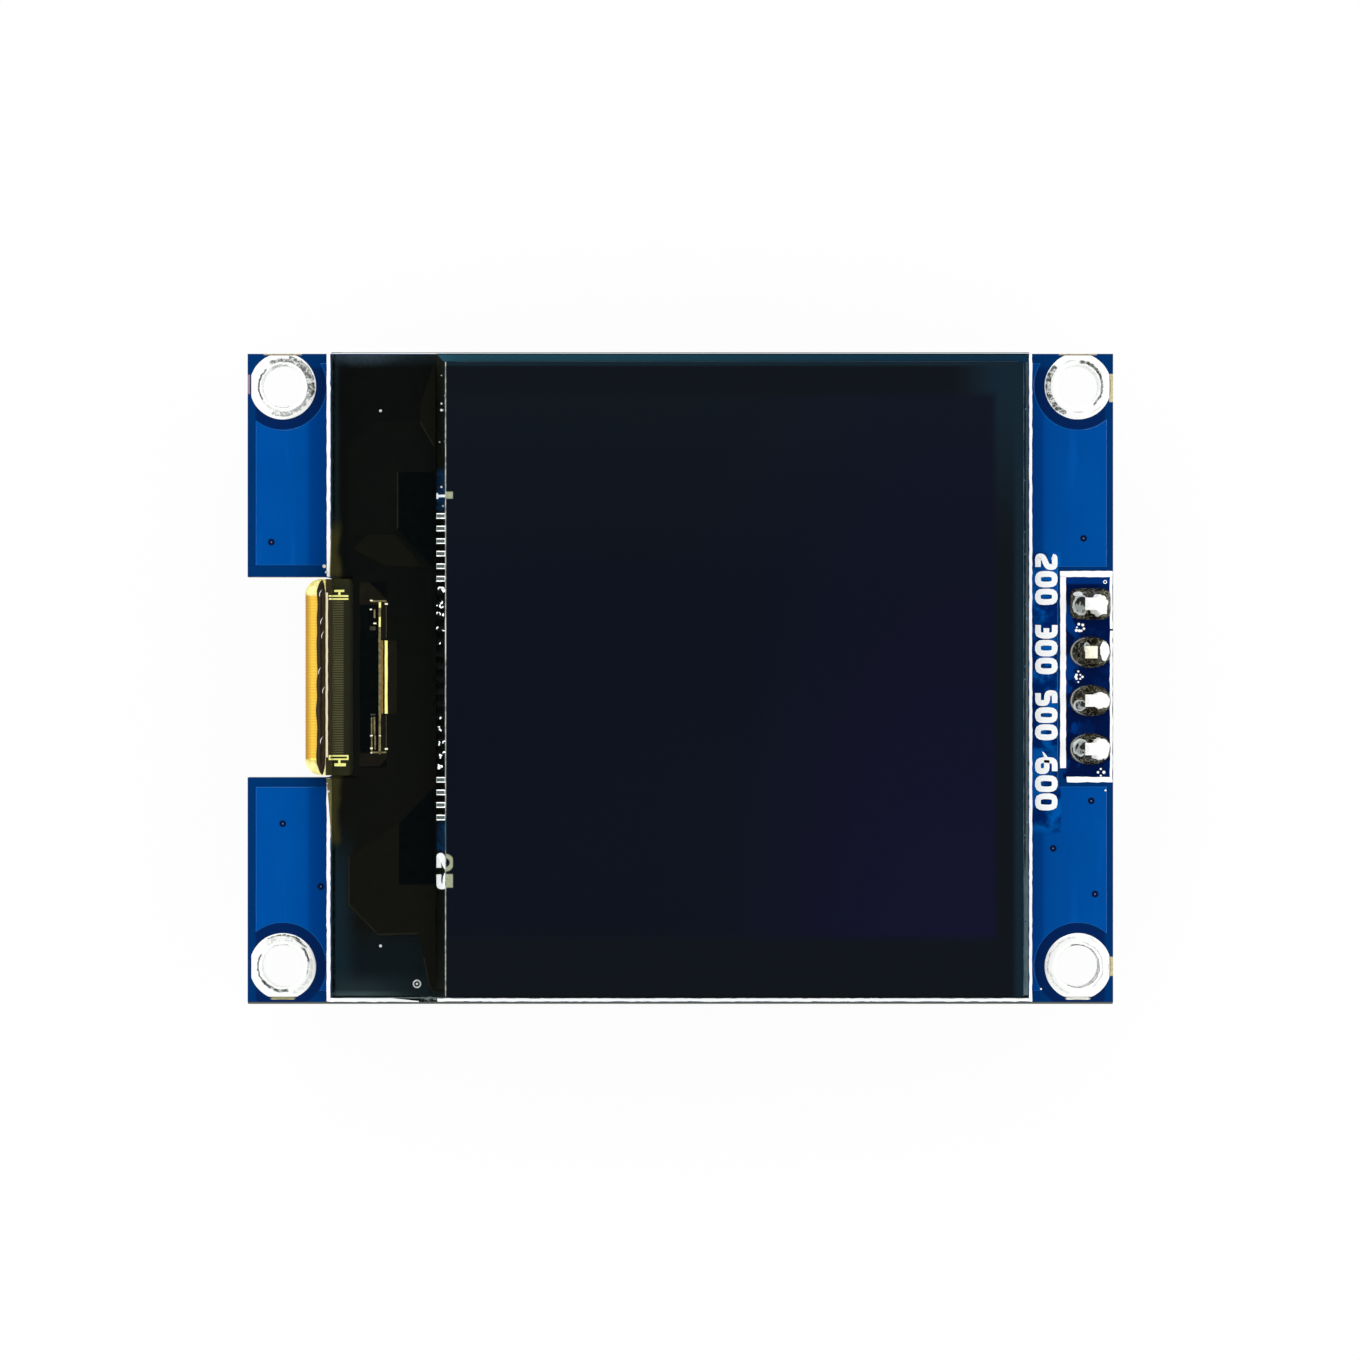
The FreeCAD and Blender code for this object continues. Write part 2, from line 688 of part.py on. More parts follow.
def solder_joint(index):
    """Solder through the board's drilled hole, its pad and the dome round the pin."""
    body = new_body(f"solder_joint_{index + 1}")
    name = f"solder_{index + 1}"
    plug = new_sketch(body, name + "_plug")
    add_disc(plug, "drill_diameter")
    pad(body, plug, "board_thickness")
    face = new_sketch(body, name + "_pad", lift="board_thickness")
    if index == 0:
        add_box(face, "-pad_length / 2", "pad_length / 2", "-pad_width / 2", "pad_width / 2")
    else:
        add_oval(face, "pad_length", "pad_width")
    pad(body, face, "pad_height")
    rings = []
    for number, (rise, spread) in enumerate(DOME_RINGS):
        height = f"board_thickness + pad_height + {rise} * (solder_height - pad_height)"
        ring = new_sketch(body, f"{name}_ring_{number}", lift=height)
        add_oval(ring, f"{spread} * pad_length", f"{spread} * pad_width")
        rings.append(ring)
    dome = body.newObject("PartDesign::AdditiveLoft", name + "_dome")
    dome.Profile = rings[0]
    dome.Sections = rings[1:]
    hole = new_sketch(body, name + "_pin_hole")
    side = "pin_width / 2"
    add_box(hole, f"-{side}", side, f"-{side}", side)
    pocket(body, hole)
    place(body, HEADER_X, pin_row(index))


# What sits on the underside is built standing on its feet and turned over
UNDERSIDE = FreeCAD.Rotation(FreeCAD.Vector(1, 0, 0), 180)


def turned_over(degrees):
    """The underside's rotation after a turn about Z."""
    return FreeCAD.Rotation(FreeCAD.Vector(0, 0, 1), degrees).multiply(UNDERSIDE)


def package(label, length, width, span, lead_width, rows, x, y, degrees=0):
    """Moulded package with gull-wing leads, given as (side, place along the row)."""
    body = new_body(label)
    middle = "(package_standoff + package_height / 2)"
    for part_name, down in (("lid", False), ("belly", True)):
        half = new_sketch(body, f"{label}_{part_name}", lift=middle)
        add_box(half, f"-{length} / 2", f"{length} / 2", f"-{width} / 2", f"{width} / 2")
        pad(body, half, "package_height / 2", down=down, draft="-package_draft")
    for number, (side, along) in enumerate(rows, 1):
        lead = new_sketch(body, f"{label}_lead_{number}", "YZ_Plane", lift=along)
        toe = f"{side} * {span} / 2"
        heel = f"{side} * ({span} / 2 - lead_foot)"
        knee = f"{side} * ({span} / 2 - lead_foot - lead_rise_run)"
        root = f"{side} * ({width} / 2 - lead_embed)"
        add_loop(lead, [
            (toe, "0"),
            (toe, "lead_thickness"),
            (heel, "lead_thickness"),
            (f"{knee}", f"{middle} + lead_thickness / 2"),
            (root, f"{middle} + lead_thickness / 2"),
            (root, f"{middle} - lead_thickness / 2"),
            (f"{knee} - {side} * lead_rise_run", f"{middle} - lead_thickness / 2"),
            (f"{heel} - {side} * lead_thickness", "0"),
        ])
        pad(body, lead, lead_width, side="Symmetric")
    place(body, x, y, rotation=turned_over(degrees))


def chip(label, kind, x, y, degrees=0):
    """Chip capacitor or resistor: ceramic body with wrapped metal ends."""
    body = new_body(label)
    length, width, height, terminal = (f"{kind}_{word}" for word in ("length", "width", "height", "terminal"))
    ceramic = new_sketch(body, label + "_ceramic", lift="terminal_skin")
    add_box(ceramic, f"-{length} / 2 + {terminal} / 2", f"{length} / 2 - {terminal} / 2",
            f"-{width} / 2 + terminal_skin", f"{width} / 2 - terminal_skin")
    pad(body, ceramic, f"{height} - 2 * terminal_skin")
    for name, side in (("left", "-1"), ("right", "1")):
        end = new_sketch(body, f"{label}_{name}_end")
        inner = f"{side} * ({length} / 2 - {terminal})"
        outer = f"{side} * {length} / 2"
        low, high = (outer, inner) if side == "-1" else (inner, outer)
        add_box(end, low, high, f"-{width} / 2", f"{width} / 2")
        block = pad(body, end, height)
        doc.recompute()
        if kind == "capacitor":
            round_edges(body, block, "capacitor_edge", edge_at("X", value(outer)))
    place(body, x, y, rotation=turned_over(degrees))


def inductor(x, y):
    """Ferrite drum and the copper winding between its flanges."""
    core = new_body("inductor_core")
    section = new_sketch(core, "drum_section", "XZ_Plane")
    rim = "drum_diameter / 2"
    hub = "drum_hub / 2"
    neck = "(drum_height - drum_top)"
    add_loop(section, [
        ("0", "0"),
        (rim, "0"),
        (rim, "drum_base"),
        (hub, "drum_base"),
        (hub, neck),
        (f"{rim} - drum_edge", neck),
        (f"{rim} - drum_edge", "drum_height - drum_edge"),
        (f"{rim} - 2 * drum_edge", "drum_height"),
        ("0", "drum_height"),
    ])
    revolve(core, section)
    place(core, x, y, rotation=UNDERSIDE)
    coil = new_body("inductor_coil")
    ring = new_sketch(coil, "coil_section", "XZ_Plane")
    add_box(ring, f"{hub} + coil_clearance", "coil_diameter / 2", "drum_base", neck)
    winding = revolve(coil, ring)
    outer_rims = [edge_at("Z", value(height)) for height in ("drum_base", neck)]
    outside = value("coil_diameter / 2")
    round_edges(coil, winding, "coil_edge",
                lambda edge: edge.BoundBox.XMax > outside - NEAR and any(rim(edge) for rim in outer_rims))
    place(coil, x, y, rotation=UNDERSIDE)


PANEL_CAPACITORS = 6
PANEL_RESISTORS = 5


def underside_parts():
    """Power supply and small parts behind the display."""
    for index in range(PANEL_CAPACITORS):
        chip(f"panel_capacitor_{index + 1}", "capacitor", "capacitor_column",
             f"capacitor_first - {index} * capacitor_step")
    for index in range(PANEL_RESISTORS):
        chip(f"panel_resistor_{index + 1}", "resistor", "resistor_column",
             f"resistor_first - {index} * resistor_step")
    sot_rows = [(side, f"{step} * sot_pitch") for side in (-1, 1) for step in (-1, 0, 1)]
    package("boost_converter", "sot_length", "sot_width", "sot_span", "sot_lead_width",
            sot_rows, "boost_column", "boost_row")
    inductor("boost_column + inductor_offset", "boost_row")
    package("rectifier_diode", "diode_width", "diode_length", "diode_span", "diode_lead_width",
            [(-1, "0"), (1, "0")], "boost_column + inductor_offset / 2", "boost_row - diode_drop", 90)
    for index in range(2):
        chip(f"feedback_resistor_{index + 1}", "resistor", "boost_column - feedback_offset",
             f"boost_row - {index} * feedback_step", 90)
    chip("boost_capacitor", "capacitor", "boost_column", f"boost_row + boost_capacitor_rise")
    package("voltage_regulator", "sot_length", "sot_width", "sot_span", "sot_lead_width",
            [(-1, "-sot_pitch"), (-1, "sot_pitch"), (1, "0")], "supply_column", "supply_row", 90)
    for index, side in enumerate((-1, 1), 1):
        chip(f"supply_capacitor_{index}", "capacitor", f"supply_column + {side} * regulator_offset",
             "supply_row", 90)
    for index in range(2):
        chip(f"bus_resistor_{index + 1}", "resistor", "bus_column", f"bus_first - {index} * bus_step")


circuit_board()
for number, (x, y) in enumerate(hole_places(), 1):
    hole_plating(number, x, y)
panel()
ledge()
flex_ribbon()
ribbon_glue()
ribbon_solder()
header_base()
for index in range(int(SIZES["header_count"])):
    header_pin(index)
    solder_joint(index)
underside_parts()
doc.recompute()

for item in doc.Objects:
    if "Invalid" in item.State or "Error" in item.State:
        raise RuntimeError(f"{item.Label} failed to build")
for body in sub_parts:
    if body.Shape.isNull() or not body.Shape.isValid():
        raise RuntimeError(f"{body.Label} has no valid shape")
for body in sub_parts:
    body.Shape.exportStep(f"parts/{body.Label}.step")
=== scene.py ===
"""Small display module: finishes, solder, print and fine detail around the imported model."""
import math
import random

import bmesh
import bpy
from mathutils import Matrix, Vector, noise


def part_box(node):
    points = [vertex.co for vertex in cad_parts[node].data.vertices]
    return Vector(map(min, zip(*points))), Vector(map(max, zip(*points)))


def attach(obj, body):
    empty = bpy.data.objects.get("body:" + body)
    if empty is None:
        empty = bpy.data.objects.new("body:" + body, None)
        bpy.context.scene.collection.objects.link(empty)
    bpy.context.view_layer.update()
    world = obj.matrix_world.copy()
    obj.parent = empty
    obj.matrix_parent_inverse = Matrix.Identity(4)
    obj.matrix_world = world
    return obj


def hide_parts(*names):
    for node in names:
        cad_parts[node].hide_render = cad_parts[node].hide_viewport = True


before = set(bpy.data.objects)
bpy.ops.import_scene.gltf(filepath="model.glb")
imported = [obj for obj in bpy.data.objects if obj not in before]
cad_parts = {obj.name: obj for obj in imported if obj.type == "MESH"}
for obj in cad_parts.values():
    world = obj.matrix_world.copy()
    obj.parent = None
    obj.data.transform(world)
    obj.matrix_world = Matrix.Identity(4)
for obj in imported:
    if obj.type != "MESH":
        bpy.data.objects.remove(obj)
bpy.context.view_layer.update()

# Without a seed of its own, noise_vector takes one from the clock
noise.seed_set(3)

MM = 0.001
ROOT = "root"


class Span:
    """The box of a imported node, in millimetres."""

    def __init__(self, node):
        lowest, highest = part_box(node)
        self.left, self.front, self.bottom = (number / MM for number in lowest)
        self.right, self.back, self.top = (number / MM for number in highest)
        self.middle_x = (self.left + self.right) / 2
        self.middle_y = (self.front + self.back) / 2


board = Span("circuit_board")
glass = Span("substrate_glass")
film = Span("polarizer")
tape = Span("ledge_tape")
chip = Span("driver_ic")
pads = Span("ribbon_solder")
rings = {number: Span(f"hole_plating_{number}") for number in (1, 2, 3, 4)}
joints = {number: Span(f"solder_joint_{number}") for number in (1, 2, 3, 4)}
pins = {number: Span(f"header_pin_{number}") for number in (1, 2, 3, 4)}

# Radii of a mounting hole, its land and its barrel, and how deep the land is let in
BORE = 1.1
LAND = 1.75
BARREL = 1.14
LAND_DEPTH = 0.05

# Points that differ less than this lie level
LEVEL = 1e-6


def hole_centre(number):
    """Middle of a mounting hole, from the sides of its land that aren't cut off."""
    ring = rings[number]
    x = ring.left + LAND if number > 2 else ring.right - LAND
    y = ring.front + LAND if number in (2, 4) else ring.back - LAND
    return x, y


holes = {number: hole_centre(number) for number in rings}
HOLE_X = holes[3][0]
HOLE_HIGH = holes[2][1]
HOLE_LOW = holes[1][1]

# Copper pour under the mask, and the ink printed on it
POUR_EDGE = 0.43
POUR_CLEARANCE = 2.3
POUR_HEIGHT = 0.03
INK_TOP = 0.05
NOTCH_TOP = 5.365
NOTCH_LOW = -5.165

# The ledge's underside, where everything seen through the glass lies
SEEN = glass.bottom + 0.004
SEEN_TOP = SEEN + 0.006
SEEN_HIGH = SEEN_TOP + 0.004
TAB_ROUND = 0.32

# The ribbon's soldered contacts
CONTACTS = 25
CONTACT_HALF = 0.14
CONTACT_TOP = pads.top + 0.18

# Glow of what lies in the panel's shade
INK_GLOW = 0.3
LABEL_GLOW = 0.8
CONTACT_GLOW = 1.9


def srgb(red, green, blue):
    """A display colour of 0 to 255 as linear light."""
    linear = []
    for level in (red, green, blue):
        share = level / 255
        linear.append(share / 12.92 if share <= 0.04045 else ((share + 0.055) / 1.055) ** 2.4)
    return (*linear, 1.0)


class Socket:
    """One output in a node tree. Sums written on it add their own nodes."""

    def __init__(self, tree, output):
        self.tree = tree
        self.output = output

    def sum(self, operation, first, second=0.0):
        return self.tree.node("ShaderNodeMath", {"operation": operation}, {0: first, 1: second})

    def __add__(self, other):
        return self.sum("ADD", self, other)

    def __radd__(self, other):
        return self.sum("ADD", other, self)

    def __sub__(self, other):
        return self.sum("SUBTRACT", self, other)

    def __rsub__(self, other):
        return self.sum("SUBTRACT", other, self)

    def __mul__(self, other):
        return self.sum("MULTIPLY", self, other)

    def __rmul__(self, other):
        return self.sum("MULTIPLY", other, self)

    def __truediv__(self, other):
        return self.sum("DIVIDE", self, other)

    def __pow__(self, other):
        return self.sum("POWER", self, other)

    def __abs__(self):
        return self.sum("ABSOLUTE", self)

    def stripes(self, pitch):
        """Waves from 0 to 1 with that pitch."""
        return self.sum("SINE", self * (math.tau / pitch)) * 0.5 + 0.5

    def lower(self, other):
        return self.sum("MINIMUM", self, other)

    def higher(self, other):
        return self.sum("MAXIMUM", self, other)


class Tree:
    """A node tree, with the few kinds of node that the finishes are made of."""

    def __init__(self, tree):
        self.tree = tree

    def node(self, kind, settings=None, sockets=None, output=0):
        made = self.tree.nodes.new(kind)
        for name, setting in (settings or {}).items():
            setattr(made, name, setting)
        for name, worth in (sockets or {}).items():
            self.feed(made.inputs[name], worth)
        return Socket(self, made.outputs[output])

    def feed(self, socket, worth):
        if isinstance(worth, Socket):
            self.tree.links.new(worth.output, socket)
        else:
            socket.default_value = worth

    def parts(self, vector):
        """The three parts of a vector."""
        split = self.node("ShaderNodeSeparateXYZ", None, {0: vector})
        return [Socket(self, output) for output in split.output.node.outputs]

    def mix(self, share, first, second):
        """The first colour where the share is 0, the second where it is 1."""
        return self.node("ShaderNodeMix", {"data_type": "RGBA"}, {0: share, 6: first, 7: second}, 2)

    def rise(self, amount, low, high):
        """0 below the low mark and 1 above the high one, with a soft step between them."""
        return self.node("ShaderNodeMapRange", {"interpolation_type": "SMOOTHSTEP"},
                         {"Value": amount, "From Min": low, "From Max": high})

    def band(self, amount, low, high, soft):
        """1 between two marks and 0 outside them."""
        return self.rise(amount, low - soft, low + soft) * (1 - self.rise(amount, high - soft, high + soft))


class Finish(Tree):
    """A material: places on the piece in millimetres, and the surface that they colour."""

    def __init__(self, name, **surface):
        self.material = bpy.data.materials.new(name)
        self.material.use_nodes = True
        super().__init__(self.material.node_tree)
        self.shader = self.tree.nodes["Principled BSDF"]
        place = self.node("ShaderNodeTexCoord", output="Object")
        self.place = self.node("ShaderNodeVectorMath", {"operation": "SCALE"}, {0: place, "Scale": 1 / MM})
        self.x, self.y, self.z = self.parts(self.place)
        self.surface(**surface)

    def surface(self, **sockets):
        for name, worth in sockets.items():
            self.feed(self.shader.inputs[name.replace("_", " ")], worth)

    def grain(self, scale, detail=3.0, roughness=0.55, stretch=(1.0, 1.0, 1.0), offset=(0.0, 0.0, 0.0)):
        """Noise with that many cells in a millimetre, from 0 to 1."""
        spot = self.node("ShaderNodeMapping", None,
                         {"Vector": self.place, "Location": offset, "Scale": stretch})
        return self.node("ShaderNodeTexNoise", None,
                         {"Vector": spot, "Scale": scale, "Detail": detail, "Roughness": roughness})

    def facing(self):
        """How far the surface faces up, from -1 to 1."""
        return self.parts(self.node("ShaderNodeNewGeometry", output="Normal"))[2]

    def bump(self, height, depth):
        """Relief of that many millimetres."""
        relief = self.node("ShaderNodeBump", None,
                           {"Strength": 1.0, "Distance": depth * MM, "Height": height})
        self.surface(Normal=relief)

    def blend(self, share, first, second):
        """Shows the first shader where the share is 0, and the second where it is 1."""
        blended = self.node("ShaderNodeMixShader", None, {0: share, 1: first, 2: second})
        self.feed(self.tree.nodes["Material Output"].inputs["Surface"], blended)

    def see_through(self, share, tint):
        """Lets the light through, tinted, except for a share that the surface itself keeps."""
        clear = self.node("ShaderNodeBsdfTransparent", None, {"Color": tint})
        self.blend(share, clear, Socket(self, self.shader.outputs[0]))


# Mesh making, in millimetres


def arc(centre_x, centre_y, radius, start, end, steps=24):
    """Points of an arc, by its angles in degrees."""
    points = []
    for step in range(steps + 1):
        angle = math.radians(start + (end - start) * step / steps)
        points.append((centre_x + radius * math.cos(angle), centre_y + radius * math.sin(angle)))
    return points


def add_plate(mesh, points, bottom, top):
    """A flat plate of that outline between two heights."""
    low = [mesh.verts.new((x, y, bottom)) for x, y in points]
    face = mesh.faces.new(low)
    lifted = bmesh.ops.extrude_face_region(mesh, geom=[face], use_keep_orig=True)["geom"]
    high = [item for item in lifted if isinstance(item, bmesh.types.BMVert)]
    bmesh.ops.translate(mesh, verts=high, vec=(0, 0, top - bottom))
    return low + high


def edges_of(verts):
    """The edges at those vertices, in the order in which they are met."""
    return list(dict.fromkeys(item for spot in verts for item in spot.link_edges))


def top_rim(verts, top):
    """The edges that lie at that height."""
    return [item for item in edges_of(verts) if min(spot.co.z for spot in item.verts) > top - LEVEL]


def add_block(mesh, left, right, front, back, bottom, top, corner=0.0):
    """A block between six faces, whose upright corners may be rounded."""
    made = bmesh.ops.create_cube(mesh, size=1.0)["verts"]
    bmesh.ops.scale(mesh, verts=made, vec=(right - left, back - front, top - bottom))
    bmesh.ops.translate(mesh, verts=made, vec=((left + right) / 2, (front + back) / 2, (bottom + top) / 2))
    if corner:
        upright = [item for item in edges_of(made) if abs(item.verts[0].co.z - item.verts[1].co.z) > LEVEL]
        made = bevel(mesh, made, upright, corner, 4)
    return made


def bevel(mesh, verts, edges, width, segments):
    """Rounds some edges of a part of the mesh and returns that part's vertices."""
    rest = set(mesh.verts) - set(verts)
    bmesh.ops.bevel(mesh, geom=edges, offset=width, segments=segments, affect="EDGES",
                    profile=0.5, material=-1, clamp_overlap=True)
    return [spot for spot in mesh.verts if spot not in rest]


def add_disc(mesh, x, y, radius, bottom, top, segments):
    """A round plate between two heights."""
    add_plate(mesh, arc(x, y, radius, 0, 360 * (1 - 1 / segments), segments - 1), bottom, top)


def add_loft(mesh, sections):
    """A closed body through rows of points, with a lid on its first and on its last row."""
    rows = [[mesh.verts.new(point) for point in section] for section in sections]
    mesh.faces.new(rows[0])
    for last, row in zip(rows, rows[1:]):
        for index in range(len(row)):
            mesh.faces.new((last[index], last[index - 1], row[index - 1], row[index]))
    mesh.faces.new(list(reversed(rows[-1])))


def spin(mesh, profile, x, y, steps):
    """Turns a closed profile of radius and height round an upright axis."""
    spots = [mesh.verts.new((x + radius, y, height)) for radius, height in profile]
    line = [mesh.edges.new((first, second)) for first, second in zip(spots, spots[1:] + spots[:1])]
    bmesh.ops.spin(mesh, geom=spots + line, cent=(x, y, 0), axis=(0, 0, 1), angle=math.tau,
                   steps=steps, use_merge=True)
    bmesh.ops.remove_doubles(mesh, verts=mesh.verts, dist=1e-5)


def ragged(mesh, amount, seed, scale=4.0):
    """Moves each vertex sideways a little, as a printed or etched edge wanders."""
    for spot in mesh.verts:
        sway = noise.noise_vector(spot.co * scale + Vector((seed, seed, 0)))
        spot.co.x += sway.x * amount
        spot.co.y += sway.y * amount


def add_strip(mesh, left, right, front, back, bottom, top, piece=0.25):
    """A long thin plate cut into short lengths, so that its edges can wander."""
    parts = add_block(mesh, left, right, front, back, bottom, top)
    upright = back - front > right - left
    start, length = (front, back - front) if upright else (left, right - left)
    count = int(length / piece)
    direction = (0, 1, 0) if upright else (1, 0, 0)
    for step in range(1, count):
        spot = start + length * step / count
        place = (0, spot, 0) if upright else (spot, 0, 0)
        faces = dict.fromkeys(face for item in parts for face in item.link_faces)
        cut = bmesh.ops.bisect_plane(mesh, geom=[*parts, *edges_of(parts), *faces], plane_co=place,
                                     plane_no=direction, dist=LEVEL)
        parts = [item for item in cut["geom"] if isinstance(item, bmesh.types.BMVert)]


def add_piece(name, mesh, finish, replaces=(), smooth=None):
    """Makes the mesh an object in metres that rides with the board."""
    bmesh.ops.recalc_face_normals(mesh, faces=mesh.faces)
    bmesh.ops.scale(mesh, verts=mesh.verts, vec=(MM, MM, MM))
    data = bpy.data.meshes.new(name)
    mesh.to_mesh(data)
    mesh.free()
    piece = bpy.data.objects.new(name, data)
    bpy.context.scene.collection.objects.link(piece)
    data.materials.append(finish.material)
    if smooth is not None:
        data.shade_smooth()
        data.set_sharp_from_angle(angle=math.radians(smooth))
    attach(piece, ROOT)
    if replaces:
        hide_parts(*replaces)


def dress(finish, *nodes):
    """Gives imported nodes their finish."""
    for name in nodes:
        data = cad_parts[name].data
        if not data.materials:
            data.materials.append(finish.material)
        for index in range(len(data.materials)):
            data.materials[index] = finish.material


# Board, copper and print


def from_hole(finish):
    """Distance from the nearest mounting hole's middle, in millimetres."""
    side = abs(finish.x) - HOLE_X
    end = abs(finish.y - (HOLE_HIGH + HOLE_LOW) / 2) - (HOLE_HIGH - HOLE_LOW) / 2
    return (side * side + end * end) ** 0.5


def board_finish():
    """Blue mask over bare laminate, darker in the clearances and in painted shade by the panel, with the
    laminate's own edges.
    """
    finish = Finish("solder_mask", Roughness=0.1, Specular_IOR_Level=0.3)
    mottle = finish.grain(0.35, 2.0)
    mask = finish.mix(mottle, srgb(0, 44, 96), srgb(2, 52, 110))
    upper = finish.rise(finish.z, 0.7, 0.9)
    hole = 1 - finish.rise(from_hole(finish), 2.2, 2.32)
    hole = hole * (1 - finish.rise(abs(finish.x), 22.25, 22.4)) * (1 - finish.rise(finish.y, 16.2, 16.5))
    mask = finish.mix(hole, mask, srgb(5, 34, 84))
    patch = finish.rise(finish.grain(0.9, 3.0, 0.6, (1.0, 0.7, 1.0)), 0.52, 0.6)
    near = 1 - finish.rise(finish.x, 20.6, 21.2)
    inside = finish.band(finish.y, -5.2, 5.45, 0.04) * finish.rise(finish.x, 20.1, 20.15) * upper
    inner = finish.mix((patch * (near * 0.8 + 0.2)).higher(finish.band(finish.y, 5.0, 5.4, 0.06) * 0.85),
                       srgb(2, 20, 66), srgb(0, 50, 122))
    mask = finish.mix(inside, mask, inner)
    # Painted shade: the board seen between the tape and the film is darkened, except for patches of plain
    # blue mask.
    window = finish.band(finish.x, -13.4, -11.5, 0.02) * upper
    blue = finish.band(finish.y, 8.9, 11.0, 0.2).higher(finish.band(finish.y, -9.0, -7.5, 0.2))
    speck = finish.rise(finish.grain(3.0, 3.0), 0.5, 0.62)
    bay_in_painted_shade = finish.mix(blue * (0.4 + speck * 0.6), srgb(42, 45, 36), srgb(30, 108, 176))
    mask = finish.mix(window, mask, bay_in_painted_shade)
    # Painted shade: a strip along the glass's lower edge, and a short patch at the board's lower edge below
    # the ledge with light grit specks in it.
    beside = finish.band(finish.x, -18.3, 18.3, 0.05) * finish.band(finish.y, -16.86, -16.3, 0.02)
    painted_shade_fleck = finish.band(finish.x, -14.4, -12.78, 0.1) * (1 - finish.rise(finish.y, -16.75, -16.65))
    grit = finish.rise(finish.grain(9.0, 3.0, 0.6), 0.5, 0.58)
    grit = grit * finish.rise(finish.x, -13.7, -13.3) * painted_shade_fleck
    dark = finish.mix(grit, srgb(24, 31, 30), srgb(140, 154, 150))
    mask = finish.mix(beside.higher(painted_shade_fleck) * upper, mask, dark)
    bare = finish.mix(finish.grain(6.0), srgb(150, 136, 90), srgb(226, 222, 184))
    high = finish.band(finish.y, 14.57, 16.04, 0.03)
    low = finish.band(finish.y, -15.6, -14.6, 0.03)
    mask = finish.mix(finish.rise(finish.x, 22.54, 22.56) * high.higher(low), mask, bare)
    left = 1 - finish.rise(finish.x, -22.64, -22.6)
    mask = finish.mix(left * finish.band(finish.y, 15.0, 16.0, 0.05), mask, srgb(150, 128, 140))
    across = abs(finish.x) - HOLE_X
    end = finish.rise(finish.y, board.back - 0.08, board.back - 0.06)
    mask = finish.mix(end * (1 - finish.rise(abs(across), 0.95, 1.05)), mask, srgb(172, 158, 128))
    end = finish.band(finish.y, -16.85, -16.69, 0.01) * (1 - finish.rise(abs(across), 0.5, 0.7))
    side = finish.rise(finish.x, 0.0, 0.1)
    mask = finish.mix(end, mask, finish.mix(side, srgb(170, 166, 128), srgb(244, 244, 236)))
    plies = finish.grain(3.0, 4.0, 0.6, (0.6, 0.6, 7.0))
    laminate = finish.mix(plies, srgb(120, 124, 96), srgb(186, 184, 150))
    broken = finish.grain(1.6, 3.0, 0.6, (1.0, 1.0, 0.2))
    slope = finish.mix(finish.rise(finish.z, 1.34, 1.4), srgb(64, 80, 62), srgb(16, 24, 14))
    torn = (1 - finish.rise(finish.z, 1.16, 1.2)) * finish.rise(broken, 0.4, 0.5)
    slope = finish.mix(torn, slope, srgb(34, 36, 28))
    laminate = finish.mix(finish.band(finish.z, 1.1, 1.7, 0.005) * (1 - finish.rise(finish.y, -16.9, -16.8)),
                          laminate, slope)
    wall = 1 - finish.rise(abs(finish.facing()), 0.5, 0.9)
    finish.surface(Base_Color=finish.mix(wall, mask, laminate), Roughness=0.1 + wall * 0.5)
    finish.bump(plies * wall, 0.006)
    return finish


def pour_finish():
    """Blue mask over copper, with a painted highlight where it turns over the copper's edge and painted shade
    by the panel.
    """
    finish = Finish("mask_over_copper", Roughness=0.1, Specular_IOR_Level=0.12)
    cloud = finish.grain(0.3, 2.0)
    mask = finish.mix(cloud, srgb(0, 70, 146), srgb(0, 78, 158))
    right = finish.mix(cloud, srgb(0, 67, 141), srgb(2, 75, 153))
    mask = finish.mix(finish.rise(finish.x, -1, 1), mask, right)
    streak = finish.rise(finish.grain(1.2, 3.0, 0.5, (1.0, 0.1, 1.0)), 0.56, 0.8)
    mask = finish.mix(streak * 0.25, mask, srgb(10, 96, 184))
    # Painted shade: the mask darkens towards the panel on both sides.
    near = finish.rise(finish.x, -19.75, -19.35) * (1 - finish.rise(finish.x, 0, 1))
    near = near + finish.rise(finish.x, 0, 1) * (1 - finish.rise(finish.x, 18.95, 19.25))
    mask = finish.mix(near * 0.85, mask, srgb(0, 58, 130))
    print_side = finish.band(finish.y, -8.0, 6.6, 0.2) * finish.band(finish.x, 18.5, 20.0, 0.05)
    patch = finish.rise(finish.grain(0.8, 3.0, 0.6), 0.42, 0.6)
    mask = finish.mix(print_side, mask, finish.mix(patch, srgb(0, 34, 96), srgb(0, 84, 164)))
    # Painted highlight: the tilted faces at the copper's edge get a lighter blue.
    edge_highlight = 1 - finish.rise(abs(finish.facing()), 0.80, 0.99)
    finish.surface(Base_Color=finish.mix(edge_highlight, mask, srgb(12, 102, 180)))
    finish.bump(streak, 0.004)
    return finish


def ink_finish(name, glow):
    """White print, slightly thin and uneven, with a glow for print down in the panel's dark gap."""
    finish = Finish(name, Roughness=0.6, Specular_IOR_Level=0.2, Emission_Strength=glow)
    patch = finish.grain(5.0, 4.0)
    thin = finish.rise(finish.grain(1.3, 2.0), 0.66, 0.78) * 0.2
    tone = finish.mix(patch * 0.2 + thin, srgb(255, 255, 255), srgb(226, 234, 240))
    shaded = (1 - finish.rise(abs(finish.x), 18.62, 18.66)).higher(1 - finish.rise(finish.y, -16.7, -16.6))
    glowing = finish.mix(shaded * finish.rise(finish.z, 0.7, 0.9), srgb(0, 0, 0), tone)
    finish.surface(Base_Color=tone, Emission_Color=glowing)
    finish.bump(patch, 0.004)
    return finish


